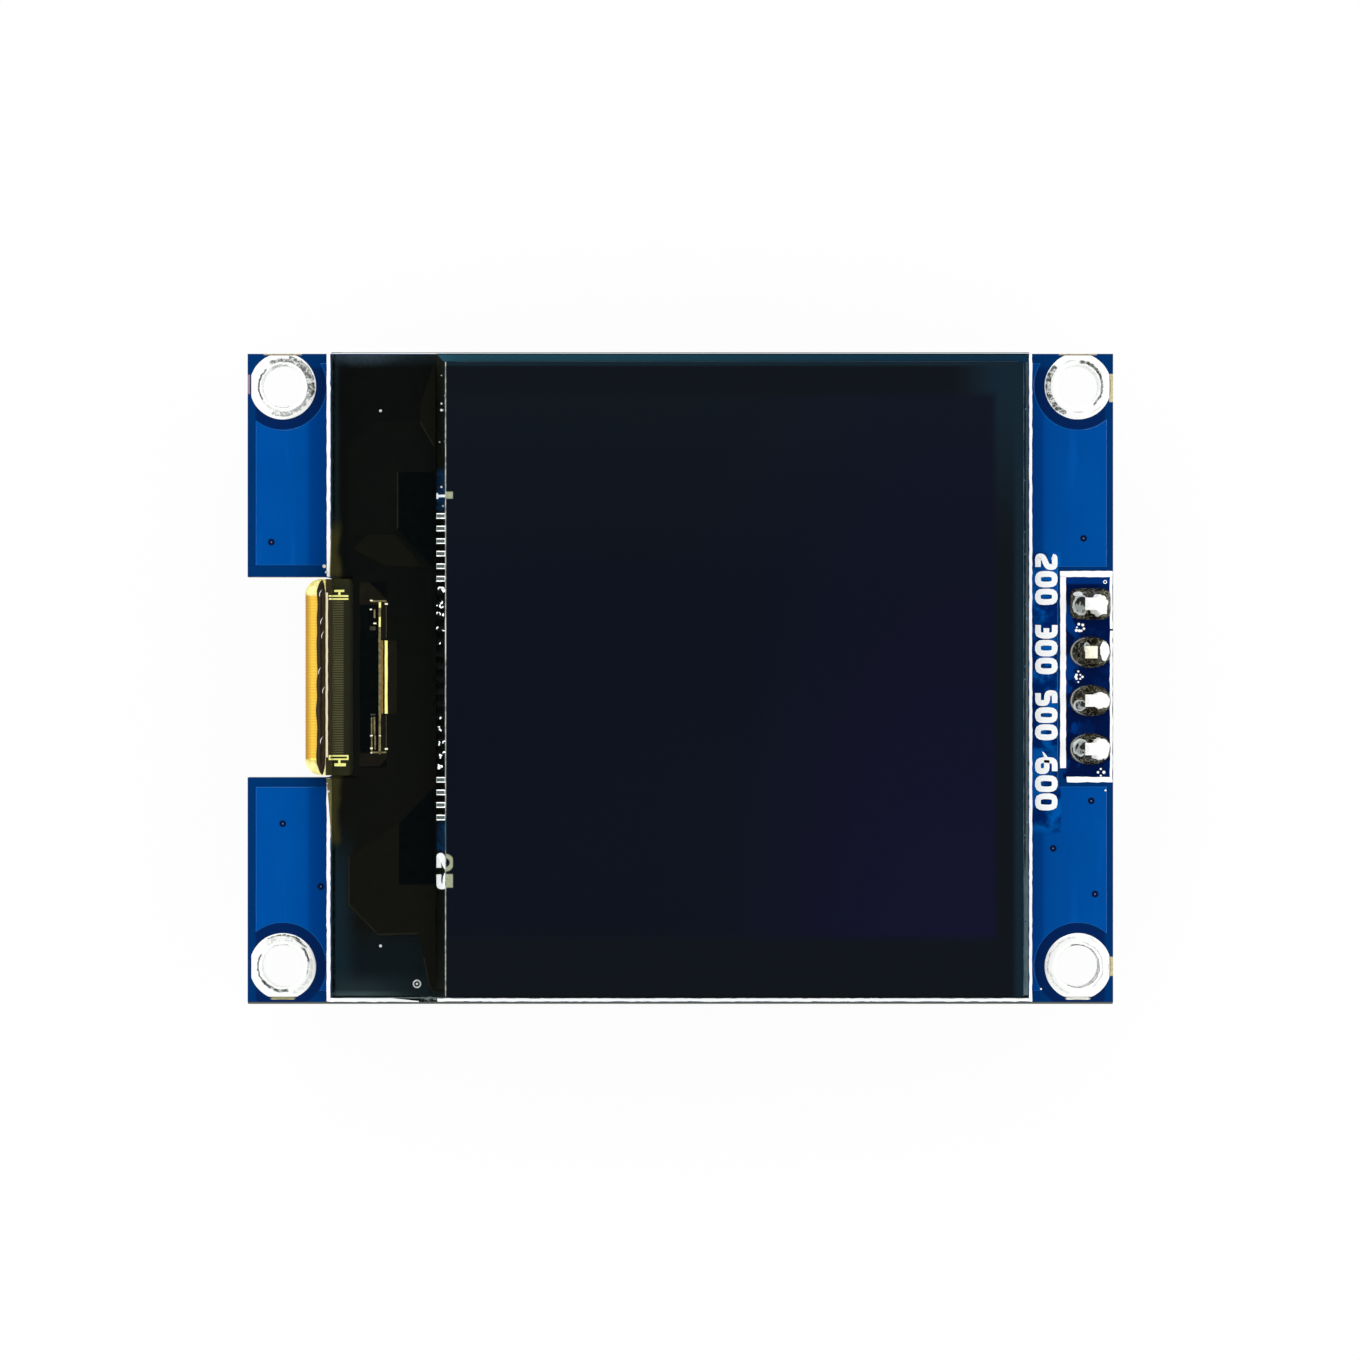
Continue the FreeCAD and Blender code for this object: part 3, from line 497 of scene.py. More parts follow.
def copper_pour(finish):
    """The raised fields of masked copper that show left and right of the panel."""
    left = board.left + POUR_EDGE
    right = board.right - 0.33
    high = board.back - 0.5
    low = board.front + 0.72
    inner = 17.95
    top = board.top + POUR_HEIGHT

    def upper_arc(side, start, end):
        return arc(side * HOLE_X, HOLE_HIGH, POUR_CLEARANCE, start, end)

    def lower_arc(side, start, end):
        return arc(side * HOLE_X, HOLE_LOW, POUR_CLEARANCE, start, end)

    rise_high = math.degrees(math.asin((high - HOLE_HIGH) / POUR_CLEARANCE))
    rise_low = math.degrees(math.asin((HOLE_LOW - low) / POUR_CLEARANCE))
    beside_left = math.degrees(math.acos((HOLE_X + left) / POUR_CLEARANCE))
    beside_right = math.degrees(math.acos((right - HOLE_X) / POUR_CLEARANCE))
    upper_left = [(left, NOTCH_TOP + 0.62), (-inner, NOTCH_TOP + 0.62), (-inner, high)]
    upper_left += upper_arc(-1, rise_high, -beside_left)
    lower_left = [(-inner, low), (-inner, NOTCH_LOW - 0.5), (left, NOTCH_LOW - 0.5)]
    lower_left += lower_arc(-1, beside_left, -rise_low)
    column = [(inner - 0.4, low)] + lower_arc(1, 180 + rise_low, beside_right)
    column += [(right, -5.65), (19.85, -5.65), (19.85, 5.9), (right, 5.9)]
    column += upper_arc(1, -beside_right, -180 - rise_high) + [(inner - 0.4, high)]
    fields = {"copper_pour_upper_left": upper_left, "copper_pour_lower_left": lower_left,
              "copper_pour_right": column}
    for name, outline in fields.items():
        mesh = bmesh.new()
        plate = add_plate(mesh, outline, board.top - 0.002, top)
        bevel(mesh, plate, top_rim(plate, top), 0.04, 2)
        add_piece(name, mesh, finish)


def silkscreen(ink):
    """The printed lines round the panel and the pin header, and their small flaws."""
    mesh = bmesh.new()
    low = board.top
    top = board.top + INK_TOP
    end = board.back - 0.02
    start = board.front + 0.15
    for sides in ((-18.59, -18.4, 5.4, end), (-18.59, -18.4, start, -5.2), (18.34, 18.49, start, end),
                  (-18.38, -15.3, -16.96, -16.77), (-12.78, 18.32, -16.945, -16.785),
                  (19.97, 20.27, -4.67, 5.39), (19.97, 22.72, 5.37, 5.68), (20.32, 22.72, -5.42, -5.14),
                  (22.58, 22.72, 2.64, 5.38), (22.58, 22.72, -5.13, 2.54)):
        add_strip(mesh, *sides, low, top)
    add_plate(mesh, [(-15.3, -16.96), (-13.75, -16.96), (-13.75, -16.91), (-15.3, -16.77)], low, top)
    ragged(mesh, 0.03, 3.7)
    tick = [(19.02, -3.8), (19.12, -3.86), (19.39, -4.2), (19.3, -4.26), (19.1, -4.05)]
    add_plate(mesh, tick, low + POUR_HEIGHT, top + 0.002)
    flaws = random.Random(5)
    for x, y, count, reach in ((21.0, 2.65, 7, 0.26), (20.92, 0.12, 8, 0.3), (22.1, -4.9, 4, 0.18)):
        for turn in range(count):
            angle = math.tau * turn / count
            radius = flaws.uniform(0.045, 0.085)
            far = reach * flaws.uniform(0.35, 1.0)
            add_disc(mesh, x + far * math.cos(angle), y + far * math.sin(angle), radius, low,
                     top + turn * 0.0005, 9)
    spin(mesh, [(0.06, low), (0.1, low), (0.1, top), (0.06, top)], 22.33, 5.11, 18)
    for x, y in ((18.96, -16.29), (22.35, -5.85)):
        add_disc(mesh, x, y, 0.05, low, top, 9)
    add_piece("silkscreen_lines", mesh, ink)


DIGITS = {
    "0": [((0, 0), (1, 0), (1, 1), (0, 1), (0, 0))],
    "1": [((0, 0), (1, 0)), ((0.5, 0), (0.5, 1), (0.1, 0.8))],
    "2": [((0, 0.85), (0.1, 1), (1, 1), (1, 0.55), (0, 0.3), (0, 0), (1, 0))],
    "3": [((0, 1), (1, 1), (1, 0), (0, 0)), ((0.3, 0.5), (1, 0.5))],
    "5": [((1, 1), (0, 1), (0, 0.56), (1, 0.52), (1, 0), (0, 0))],
    "6": [((1, 1), (0, 1), (0, 0), (1, 0), (1, 0.52), (0, 0.52))],
}


def rounded(points):
    """A run of points with its corners cut off twice."""
    closed = points[0] == points[-1]
    for turn in range(2):
        finer = [] if closed else [points[0]]
        for (first_x, first_y), (last_x, last_y) in zip(points, points[1:]):
            reach = 0.2 if turn == 0 else 0.25
            finer.append((first_x + (last_x - first_x) * reach, first_y + (last_y - first_y) * reach))
            finer.append((last_x - (last_x - first_x) * reach, last_y - (last_y - first_y) * reach))
        finer.append(finer[0] if closed else points[-1])
        points = finer
    return points


def add_stroke(mesh, points, half, bottom, top):
    """A flat band along a run of points; the run may close on itself."""
    closed = points[0] == points[-1]
    places = [Vector(point) for point in (points[:-1] if closed else points)]
    count = len(places)
    rows = []
    for index, place in enumerate(places):
        before = places[index - 1] if closed or index else place
        after = places[(index + 1) % count] if closed or index < count - 1 else place
        back = (place - before).normalized() if before != place else (after - place).normalized()
        ahead = (after - place).normalized() if after != place else back
        along = (back + ahead).normalized()
        side = Vector((-along.y, along.x)) * half / max(0.5, along.dot(ahead))
        row = []
        for share, height in ((1, bottom), (-1, bottom), (-1, top), (1, top)):
            spot = place + side * share
            row.append(mesh.verts.new((spot.x, spot.y, height)))
        rows.append(row)
    pairs = list(zip(rows, rows[1:])) + ([(rows[-1], rows[0])] if closed else [])
    for first, last in pairs:
        for index in range(4):
            mesh.faces.new((first[index - 1], first[index], last[index], last[index - 1]))
    if not closed:
        mesh.faces.new(rows[0])
        mesh.faces.new(list(reversed(rows[-1])))


def add_number(mesh, text, left, right, upper, lower, half, bottom, top):
    """Digits read from above downwards between two sides and two ends."""
    gap = 0.07
    width = (upper - lower + gap) / len(text) - gap
    for place, digit in enumerate(text):
        start = upper - place * (width + gap) - half
        for layer, run in enumerate(DIGITS[digit]):
            points = []
            for across, upward in rounded(list(run)):
                points.append((left + half + upward * (right - left - 2 * half),
                               start - across * (width - 2 * half)))
            add_stroke(mesh, points, half, bottom, top + layer * 0.001)


def pin_numbers(ink):
    """Plain numbers printed beside the four pins and at both ends of the ribbon's contacts."""
    blocks = {"200": (6.6, 3.9), "300": (3.0, 0.26), "500": (-0.58, -3.21), "600": (-4.1, -6.9)}
    column = 18.65, 19.83
    row = -12.85, -11.9
    top = board.top + INK_TOP
    for text, (upper, lower) in blocks.items():
        mesh = bmesh.new()
        add_number(mesh, text, *column, upper, lower, 0.15, board.top + 0.02, top)
        ragged(mesh, 0.015, 1.4)
        add_piece(f"pin_number_{text}", mesh, ink)
    mesh = bmesh.new()
    for text, upper, lower, half in (("1", 9.84, 9.42, 0.06), ("25", -9.14, -11.04, 0.14)):
        add_number(mesh, text, *row, upper, lower, half, board.top, top)
    ragged(mesh, 0.02, 2.4)
    add_piece("contact_numbers", mesh, ink_finish("shaded_ink", LABEL_GLOW))


def vias():
    """Small plated holes that the mask has closed."""
    dark = Finish("via_mouth", Roughness=0.3, Specular_IOR_Level=0.2)
    light = plain_finish("via_middle", srgb(40, 78, 140), srgb(96, 134, 190), 8.0, 0.3, 0.002)
    rim = dark.grain(8.0)
    dark.surface(Base_Color=dark.mix(rim, srgb(0, 4, 26), srgb(0, 18, 64)))
    mouths = bmesh.new()
    middles = bmesh.new()
    middle, mouth = 0.045, 0.18
    top = board.top + POUR_HEIGHT + 0.004
    for x, y in ((-21.5, 7.2), (-20.9, -7.6), (-18.9, -10.9), (21.2, 7.4), (21.6, -6.4), (19.6, -8.9),
                 (21.8, -11.3)):
        spin(mouths, [(middle, board.top), (mouth, board.top), (mouth, top), (middle, top)], x, y, 18)
        add_disc(middles, x, y, middle, board.top, top - 0.002, 10)
    add_piece("via_mouths", mouths, dark, smooth=30)
    add_piece("via_middles", middles, light)


# Painted dark reflections in the tin: middle radius, half width, start and end angle, darkness and how broken
# it is
PAINTED_DARK_REFLECTIONS = {
    1: ((1.64, 0.045, 52, 118, 1.0, 0.5), (1.55, 0.045, 40, 66, 1.0, 0.2), (1.4, 0.055, 8, 44, 1.0, 0.2),
        (1.33, 0.04, -20, 6, 0.7, 0.8), (1.29, 0.045, 150, 240, 0.9, 0.2), (1.28, 0.085, 215, 283, 1.0, 0.4),
        (1.15, 0.015, 75, 120, 0.7, 0.2), (1.45, 0.12, 70, 125, 0.3, 0.9), (1.5, 0.1, -70, 20, 0.25, 0.9)),
    2: ((1.26, 0.04, 134, 214, 1.0, 0.1), (1.37, 0.09, 78, 118, 0.9, 0.5), (1.12, 0.02, 77, 122, 0.7, 0.2),
        (1.12, 0.015, 244, 289, 0.7, 0.2), (1.45, 0.17, -20, 78, 0.85, 0.75),
        (1.45, 0.13, -112, -15, 0.6, 0.85), (1.66, 0.025, 12, 58, 1.0, 0.3), (1.62, 0.06, -24, 14, 1.0, 0.85),
        (1.3, 0.05, 214, 262, 0.4, 0.7)),
    3: ((1.13, 0.035, 42, 108, 1.0, 0.2), (1.12, 0.02, -120, 44, 0.8, 0.2), (1.31, 0.02, -54, 78, 0.5, 0.4),
        (1.6, 0.03, 150, 192, 0.6, 0.6), (1.55, 0.05, 95, 150, 0.3, 0.85), (1.5, 0.06, 192, 250, 0.3, 0.85),
        (1.6, 0.025, -14, 6, 0.6, 0.7), (1.62, 0.03, 56, 66, 0.5, 0.3)),
    4: ((1.56, 0.14, 138, 246, 0.95, 0.75), (1.3, 0.08, 30, 86, 0.95, 0.4), (1.27, 0.06, -50, 34, 0.95, 0.3),
        (1.38, 0.03, -96, -80, 0.7, 0.5), (1.6, 0.03, -62, -42, 0.6, 0.4), (1.36, 0.03, 96, 120, 0.4, 0.6)),
}


def tin_finish(number):
    """Hot-tinned land: white and lumpy, with dark streaks that are painted reflections."""
    centre_x, centre_y = holes[number]
    finish = Finish(f"tin_{number}", Metallic=0.3, Roughness=0.5, Specular_IOR_Level=0.2)
    across = finish.x - centre_x
    along = finish.y - centre_y
    radius = (across * across + along * along) ** 0.5
    lumps = finish.grain(2.2, 3.0, 0.5)
    fine = finish.grain(9.0, 4.0, 0.65)
    torn = finish.grain(4.5, 4.0, 0.7, offset=(number * 3.0, 0.0, 0.0))
    wander = radius + (lumps - 0.5) * 0.14 + (torn - 0.5) * 0.16
    tin = finish.mix(fine, srgb(255, 255, 254), srgb(240, 243, 240))
    # Painted dark reflection: the tone of the streaks.
    dark = finish.mix(finish.rise(finish.grain(6.0), 0.4, 0.6), srgb(12, 16, 14), srgb(92, 100, 94))
    for middle, half, start, end, depth, broken in PAINTED_DARK_REFLECTIONS[number]:
        toward = math.radians((start + end) / 2)
        spread = math.radians((end - start) / 2)
        facing = (across * math.cos(toward) + along * math.sin(toward)) / radius
        share = finish.rise(facing, math.cos(spread) - 0.03, math.cos(spread) + 0.03)
        share = share * finish.band(wander, middle - half, middle + half, 0.02) * depth
        tin = finish.mix(share * (1 - broken * finish.rise(torn, 0.47, 0.56)), tin, dark)
    cut = finish.y - (board.back - 0.12) if centre_y > 0 else rings[number].front + 0.03 - finish.y
    tin = finish.mix(finish.rise(cut, 0.0, 0.03) * 0.6, tin, srgb(92, 90, 66))
    finish.surface(Base_Color=tin, Roughness=0.45 + lumps * 0.14)
    finish.bump(lumps + fine * 0.25, 0.012)
    return finish


def tinned_ring(number):
    """One plated hole: barrel and two lands whose tin stands a little proud, lumpy from the bath."""
    ring = rings[number]
    x, y = holes[number]
    top = board.top
    crown = [(BORE, top - 0.12), (BORE + 0.02, top - 0.02), (BORE + 0.08, top + 0.03),
             (BORE + 0.22, top + 0.05), (BORE + 0.38, top + 0.048), (LAND - 0.13, top + 0.035),
             (LAND - 0.03, top + 0.015), (LAND, top), (LAND, top - LAND_DEPTH)]
    under = [(radius, board.bottom + top - height) for radius, height in reversed(crown)]
    profile = crown + [(BARREL, top - LAND_DEPTH), (BARREL, LAND_DEPTH)] + under + [(BORE, 0.8)]
    mesh = bmesh.new()
    spin(mesh, profile, x, y, 96)
    rough = random.Random(number)
    shift = Vector((rough.uniform(0, 9), rough.uniform(0, 9), number))
    for spot in mesh.verts:
        away = math.hypot(spot.co.x - x, spot.co.y - y)
        if away > BORE + 0.04 and abs(spot.co.z - top / 2) > top / 2 + 0.005:
            lump = noise.noise(spot.co * 1.6 + shift) * 0.02 + noise.noise(spot.co * 5.0 + shift) * 0.008
            spot.co.z += lump * (1 if spot.co.z > top / 2 else -1)
    side = (ring.right, 0, 0) if x > 0 else (ring.left, 0, 0)
    end = (0, ring.back, 0) if y > 0 else (0, ring.front, 0)
    for place in (side, end):
        everything = list(mesh.verts) + list(mesh.edges) + list(mesh.faces)
        sawn = bmesh.ops.bisect_plane(mesh, geom=everything, plane_co=place,
                                      plane_no=Vector(place).normalized(), clear_outer=True)
        rim = [item for item in sawn["geom_cut"] if isinstance(item, bmesh.types.BMEdge)]
        bmesh.ops.holes_fill(mesh, edges=rim, sides=0)
    add_piece(f"tinned_hole_{number}", mesh, tin_finish(number),
              [f"hole_plating_{number}"], smooth=55)


# Header, its pins and their solder

# Painted highlights and painted grey reflections of the solder seen from above: middle and half size in the
# joint, both as shares of the joint's own half size
PAINTED_HIGHLIGHTS = {1: ((0.36, -0.08, 0.5, 0.68), (-0.62, 0.62, 0.22, 0.16)), 2: ((0.68, 0.1, 0.24, 0.62),),
          3: ((0.45, 0.02, 0.5, 0.5),), 4: ((0.42, -0.02, 0.52, 0.68),)}
PAINTED_GREY_REFLECTIONS = {1: ((-0.5, -0.05, 0.4, 0.66),), 2: ((-0.2, 0.25, 0.16, 0.34),), 3: ((-0.55, -0.3, 0.3, 0.36),),
        4: ((-0.5, 0.1, 0.36, 0.52),)}


def joint_finish(number):
    """Solder with painted highlights on its right and painted dark reflections elsewhere, with flux at its
    foot.
    """
    joint = joints[number]
    finish = Finish(f"solder_{number}", Metallic=0.45, Roughness=0.2)
    across = (finish.x - joint.middle_x) / ((joint.right - joint.left) / 2)
    along = (finish.y - joint.middle_y) / ((joint.back - joint.front) / 2)
    lumps = finish.grain(3.0, 3.0, 0.5, offset=(number, 0.0, 0.0))
    fine = finish.grain(8.0, 3.0, 0.6)
    reflection_swirl = finish.grain(3.0, 2.0, 0.5, (1.0, 0.6, 1.0), (0.0, number * 2.0, 0.0))
    sway = (lumps - 0.5) * 0.7

    def patch(centre_x, centre_y, half_x, half_y, soft):
        far_x = (across - centre_x) / half_x
        far_y = (along - centre_y) / half_y
        return 1 - finish.rise((far_x * far_x + far_y * far_y) ** 0.5 + sway, 1 - soft, 1 + soft)

    # Painted dark reflections over flux: the base tone, crossed by a light band of painted reflection.
    flux_and_painted_reflections = finish.mix(finish.rise(lumps, 0.4, 0.6), srgb(7, 7, 4), srgb(62, 56, 34))
    flux_and_painted_reflections = finish.mix(finish.band(reflection_swirl, 0.5, 0.53, 0.012) * 0.7, flux_and_painted_reflections, srgb(168, 166, 142))
    # Painted reflection of the surroundings, used inside the grey patches below, each of which gets a pale
    # rim.
    painted_room_reflection = finish.mix(finish.rise(reflection_swirl, 0.46, 0.54), srgb(40, 44, 40), srgb(190, 196, 190))
    for x, y, half_x, half_y in PAINTED_GREY_REFLECTIONS[number]:
        flux_and_painted_reflections = finish.mix(patch(x, y, half_x, half_y, 0.06), flux_and_painted_reflections, srgb(236, 240, 236))
        flux_and_painted_reflections = finish.mix(patch(x + 0.03, y, half_x * 0.78, half_y * 0.82, 0.1), flux_and_painted_reflections, painted_room_reflection)
    # Painted highlights, each with a dark edge.
    for x, y, half_x, half_y in PAINTED_HIGHLIGHTS[number]:
        flux_and_painted_reflections = finish.mix(patch(x - 0.05, y, half_x * 1.08, half_y * 1.1, 0.05), flux_and_painted_reflections, srgb(18, 17, 12))
        flux_and_painted_reflections = finish.mix(patch(x, y, half_x, half_y, 0.05), flux_and_painted_reflections, srgb(255, 255, 250))
    rim = (across * across + along * along) ** 0.5
    # Painted highlight along the solder's rim on its left.
    if number > 1:
        highlight_line = finish.band(rim + sway * 0.15, 0.92, 0.98, 0.02) * finish.rise(lumps - across, 0.7, 1.1)
        flux_and_painted_reflections = finish.mix(highlight_line * 0.8, flux_and_painted_reflections, srgb(214, 222, 216))
    finish.surface(Base_Color=flux_and_painted_reflections, Roughness=0.16 + lumps * 0.14)
    finish.bump(lumps + fine * 0.2, 0.03)
    return finish


# How the solder narrows upwards: share of its half size, and height over the board
SOLDER_SLOPE = ((1.0, 0.0), (0.99, 0.07), (0.93, 0.2), (0.82, 0.36), (0.68, 0.52), (0.54, 0.68),
                (0.43, 0.82), (0.36, 0.93), (0.3, 1.0))
SMOOTH_FOOT = 0.99
SQUARE_POWER = 5.0
OVAL_POWER = 2.3


def solder_joint(number):
    """Solder drawn up round one pin from its oval land; the first land is square."""
    joint = joints[number]
    pin = pins[number]
    half_x = (joint.right - joint.left) / 2
    half_y = (joint.back - joint.front) / 2
    power = SQUARE_POWER if number == 1 else OVAL_POWER
    steps = 56
    sections = []
    for share, height in SOLDER_SLOPE:
        drift = 1 - share
        section = []
        for step in range(steps):
            angle = math.tau * step / steps
            cosine, sine = math.cos(angle), math.sin(angle)
            reach = (abs(cosine) ** power + abs(sine) ** power) ** (-1 / power)
            x = joint.middle_x + (pin.middle_x - joint.middle_x) * drift + half_x * share * cosine * reach
            y = joint.middle_y + (pin.middle_y - joint.middle_y) * drift + half_y * share * sine * reach
            sway = 0.0
            if share < SMOOTH_FOOT:
                sway = noise.noise(Vector((x * 1.5, y * 1.5, number + height))) * 0.09 * drift
            section.append((x + sway, y + sway * 0.5, board.top + height + sway))
        sections.append(section)
    mesh = bmesh.new()
    add_loft(mesh, sections)
    add_piece(f"pin_solder_{number}", mesh, joint_finish(number), [f"solder_joint_{number}"],
              smooth=60)


def pin_finish():
    """Plated brass, tinned where it stood in the solder; one tip was left cream."""
    finish = Finish("pin_plating", Metallic=0.6, Roughness=0.24)
    draw = finish.grain(6.0, 3.0, 0.5, (1.0, 1.0, 0.08))
    gold = finish.mix(draw, srgb(232, 196, 116), srgb(204, 162, 86))
    cream = finish.band(finish.y, pins[2].front, pins[2].back, 0.01)
    tin = finish.mix(cream, srgb(255, 255, 252), srgb(252, 248, 222))
    tip = finish.rise(finish.z, 0.4, 1.4)
    finish.surface(Base_Color=finish.mix(tip, gold, tin), Metallic=0.6 - tip * 0.5,
                   Roughness=0.2 + draw * 0.14)
    finish.bump(draw, 0.004)
    return finish


# Panel


def glass_finish():
    """Thin clear glass whose cut edges look pale."""
    finish = Finish("panel_glass")
    aside = finish.node("ShaderNodeLayerWeight", output="Facing")
    cut = 1 - finish.rise(abs(finish.facing()), 0.3, 0.6)
    chips = finish.grain(9.0, 4.0, 0.7)
    taped = 1 - finish.rise(finish.x, -17.9, -17.6)
    plain = finish.mix(finish.rise(finish.x, 17.8, 18.0), srgb(196, 216, 214), srgb(134, 152, 154))
    edge = finish.mix(taped, plain, srgb(52, 66, 62))
    glued = taped * finish.band(finish.y, -5.1, 5.3, 0.1)
    edge = finish.mix(glued, edge, srgb(60, 54, 30))
    finish.surface(Base_Color=finish.mix(cut, srgb(250, 252, 252), edge),
                   Metallic=1 - cut, Roughness=0.03 + cut * 0.3)
    mirrored = 0.035 + aside ** 5.0 * 0.8
    finish.see_through((mirrored + cut * (0.25 + chips * 0.35)).lower(1.0), srgb(253, 254, 254))
    return finish


def film_finish():
    """The polarizer over the dark screen: near black, a little violet to the right and below."""
    finish = Finish("polarizer_film", Roughness=0.06, Specular_IOR_Level=0.4)
    right = finish.rise(finish.x, film.left + 12, film.right - 4)
    low = 1 - finish.rise(finish.y, film.front, film.back - 8)
    tone = finish.mix(finish.grain(0.06, 1.0), srgb(12, 16, 25), srgb(15, 19, 29))
    tone = finish.mix(finish.rise(finish.y, film.back - 12, film.back), tone, srgb(16, 22, 28))
    tone = finish.mix(right * (0.3 + low * 0.6), tone, srgb(19, 18, 42))
    margin = finish.rise(finish.x, 16.2, 16.7).higher(1 - finish.rise(finish.y, -13.9, -13.2))
    margin = margin.higher(finish.rise(finish.y, 14.6, 15.2))
    lit = finish.rise(finish.y, 6.0, 16.0) * finish.rise(finish.x, 14.0, 17.0)
    edge = finish.mix(lit, srgb(16, 20, 25), srgb(20, 35, 46))
    rim = finish.rise(finish.x, 17.3, 17.7).higher(finish.rise(finish.y, 16.3, 16.5))
    edge = finish.mix(rim, edge, srgb(20, 35, 45))
    tone = finish.mix(margin, tone, edge)
    grain = finish.grain(7.0, 3.0)
    shade = finish.mix(grain, srgb(126, 134, 108), srgb(176, 180, 150))
    bar = finish.band(finish.y, 9.44, 9.8, 0.03)
    block = finish.band(finish.y, -10.9, -10.2, 0.04)
    out = finish.x + 12.3
    up = finish.y + 9.6
    loop = finish.band((out * out + up * up) ** 0.5, 0.24, 0.46, 0.04)
    marks = bar.higher(block).higher(loop) * finish.band(finish.x, -12.4, -11.9, 0.03)
    tone = finish.mix(marks, tone, shade)
    wall = 1 - finish.rise(finish.facing(), 0.2, 0.8)
    finish.surface(Base_Color=finish.mix(wall, tone, srgb(90, 96, 100)))
    return finish


def tape_finish():
    """Black tape behind the ledge, lit up along the glass edges and stained by glue at the ribbon."""
    finish = Finish("black_tape", Roughness=0.6, Specular_IOR_Level=0.0)
    lower = 1 - finish.rise(finish.y, -8, 8)
    tone = finish.mix(lower, srgb(12, 15, 13), srgb(17, 18, 15))
    tone = finish.mix(1 - finish.rise(finish.y, -14.5, -12.5), tone, srgb(16, 24, 27))
    shade = finish.grain(0.5, 3.0)
    chips = finish.grain(7.0, 4.0, 0.65)
    left = 1 - finish.rise(finish.x + (shade - 0.5) * 0.3, glass.left, glass.left + 0.5)
    tone = finish.mix(left * 0.8, tone, srgb(30, 44, 47))
    bluish = 1 - finish.rise(finish.x + (shade - 0.5) * 0.4, glass.left + 0.3, glass.left + 1.5)
    tone = finish.mix(bluish * (1 - finish.rise(finish.y, -11.0, -7.0)) * 0.7, tone, srgb(24, 42, 52))
    upper = finish.rise(finish.y + (shade - 0.5) * 0.4, tape.back - 0.75, tape.back + 0.1)
    corner = 1 - finish.rise(finish.x, -16.5, -13.5)
    tone = finish.mix(upper * (0.25 + corner * 0.7) * (0.35 + chips), tone, srgb(60, 76, 86))
    foot = 1 - finish.rise(finish.y, tape.front + 0.1, tape.front + 1.5)
    inward = 1 - finish.rise(finish.x, -17.0, -13.6)
    tone = finish.mix(foot * (0.2 + inward * 0.6), tone, srgb(38, 50, 54))
    lip = 1 - finish.rise(finish.y, tape.front + 0.05, tape.front + 0.35)
    tone = finish.mix(lip * inward * 0.8, tone, srgb(66, 82, 84))
    edge = (1 - finish.rise(finish.x, glass.left + 0.1, glass.left + 0.22)) * finish.rise(chips, 0.35, 0.5)
    tone = finish.mix(edge, tone, srgb(6, 12, 10))
    stain = finish.band(finish.y, -8.6, -5.0, 0.3).higher(finish.band(finish.y, 5.2, 8.0, 0.6))
    stain = stain * (1 - finish.rise(finish.x + (shade - 0.5) * 0.8, glass.left + 0.2, glass.left + 0.6))
    tone = finish.mix(stain * 0.9, tone, srgb(62, 58, 28))
    finish.surface(Base_Color=tone)
    finish.bump(finish.grain(5.0), 0.001)
    return finish


def behind_finish(name, first, second, scale, soft=0.5):
    """A matt finish of two colours for what lies behind the glass."""
    finish = Finish(name, Roughness=0.8, Specular_IOR_Level=0.0)
    grain = finish.grain(scale, 4.0, 0.6)
    share = finish.rise(grain, 0.5 - soft * 0.5, 0.5 + soft * 0.5)
    finish.surface(Base_Color=finish.mix(share, first, second))
    finish.bump(grain, 0.0005)
    return finish


def plain_finish(name, first, second, scale, roughness, relief, metallic=0.0):
    """A finish of two close colours in that grain."""
    finish = Finish(name, Roughness=roughness, Metallic=metallic)
    grain = finish.grain(scale, 4.0, 0.6)
    finish.surface(Base_Color=finish.mix(grain, first, second))
    finish.bump(grain, relief)
    return finish


def seen_piece(name, finish, outlines=(), blocks=(), strips=(), wander=()):
    """A thin piece on the ledge's underside. A block ends with its top, and a wandering strip with its
    top and the length of its parts."""
    mesh = bmesh.new()
    for outline in outlines:
        add_plate(mesh, outline, SEEN, SEEN_TOP)
    for *sides, top in blocks:
        add_block(mesh, *sides, SEEN, top)
    for *sides, top, piece in strips:
        add_strip(mesh, *sides, SEEN, top, piece)
    if wander:
        ragged(mesh, *wander)
    add_piece(name, mesh, finish)


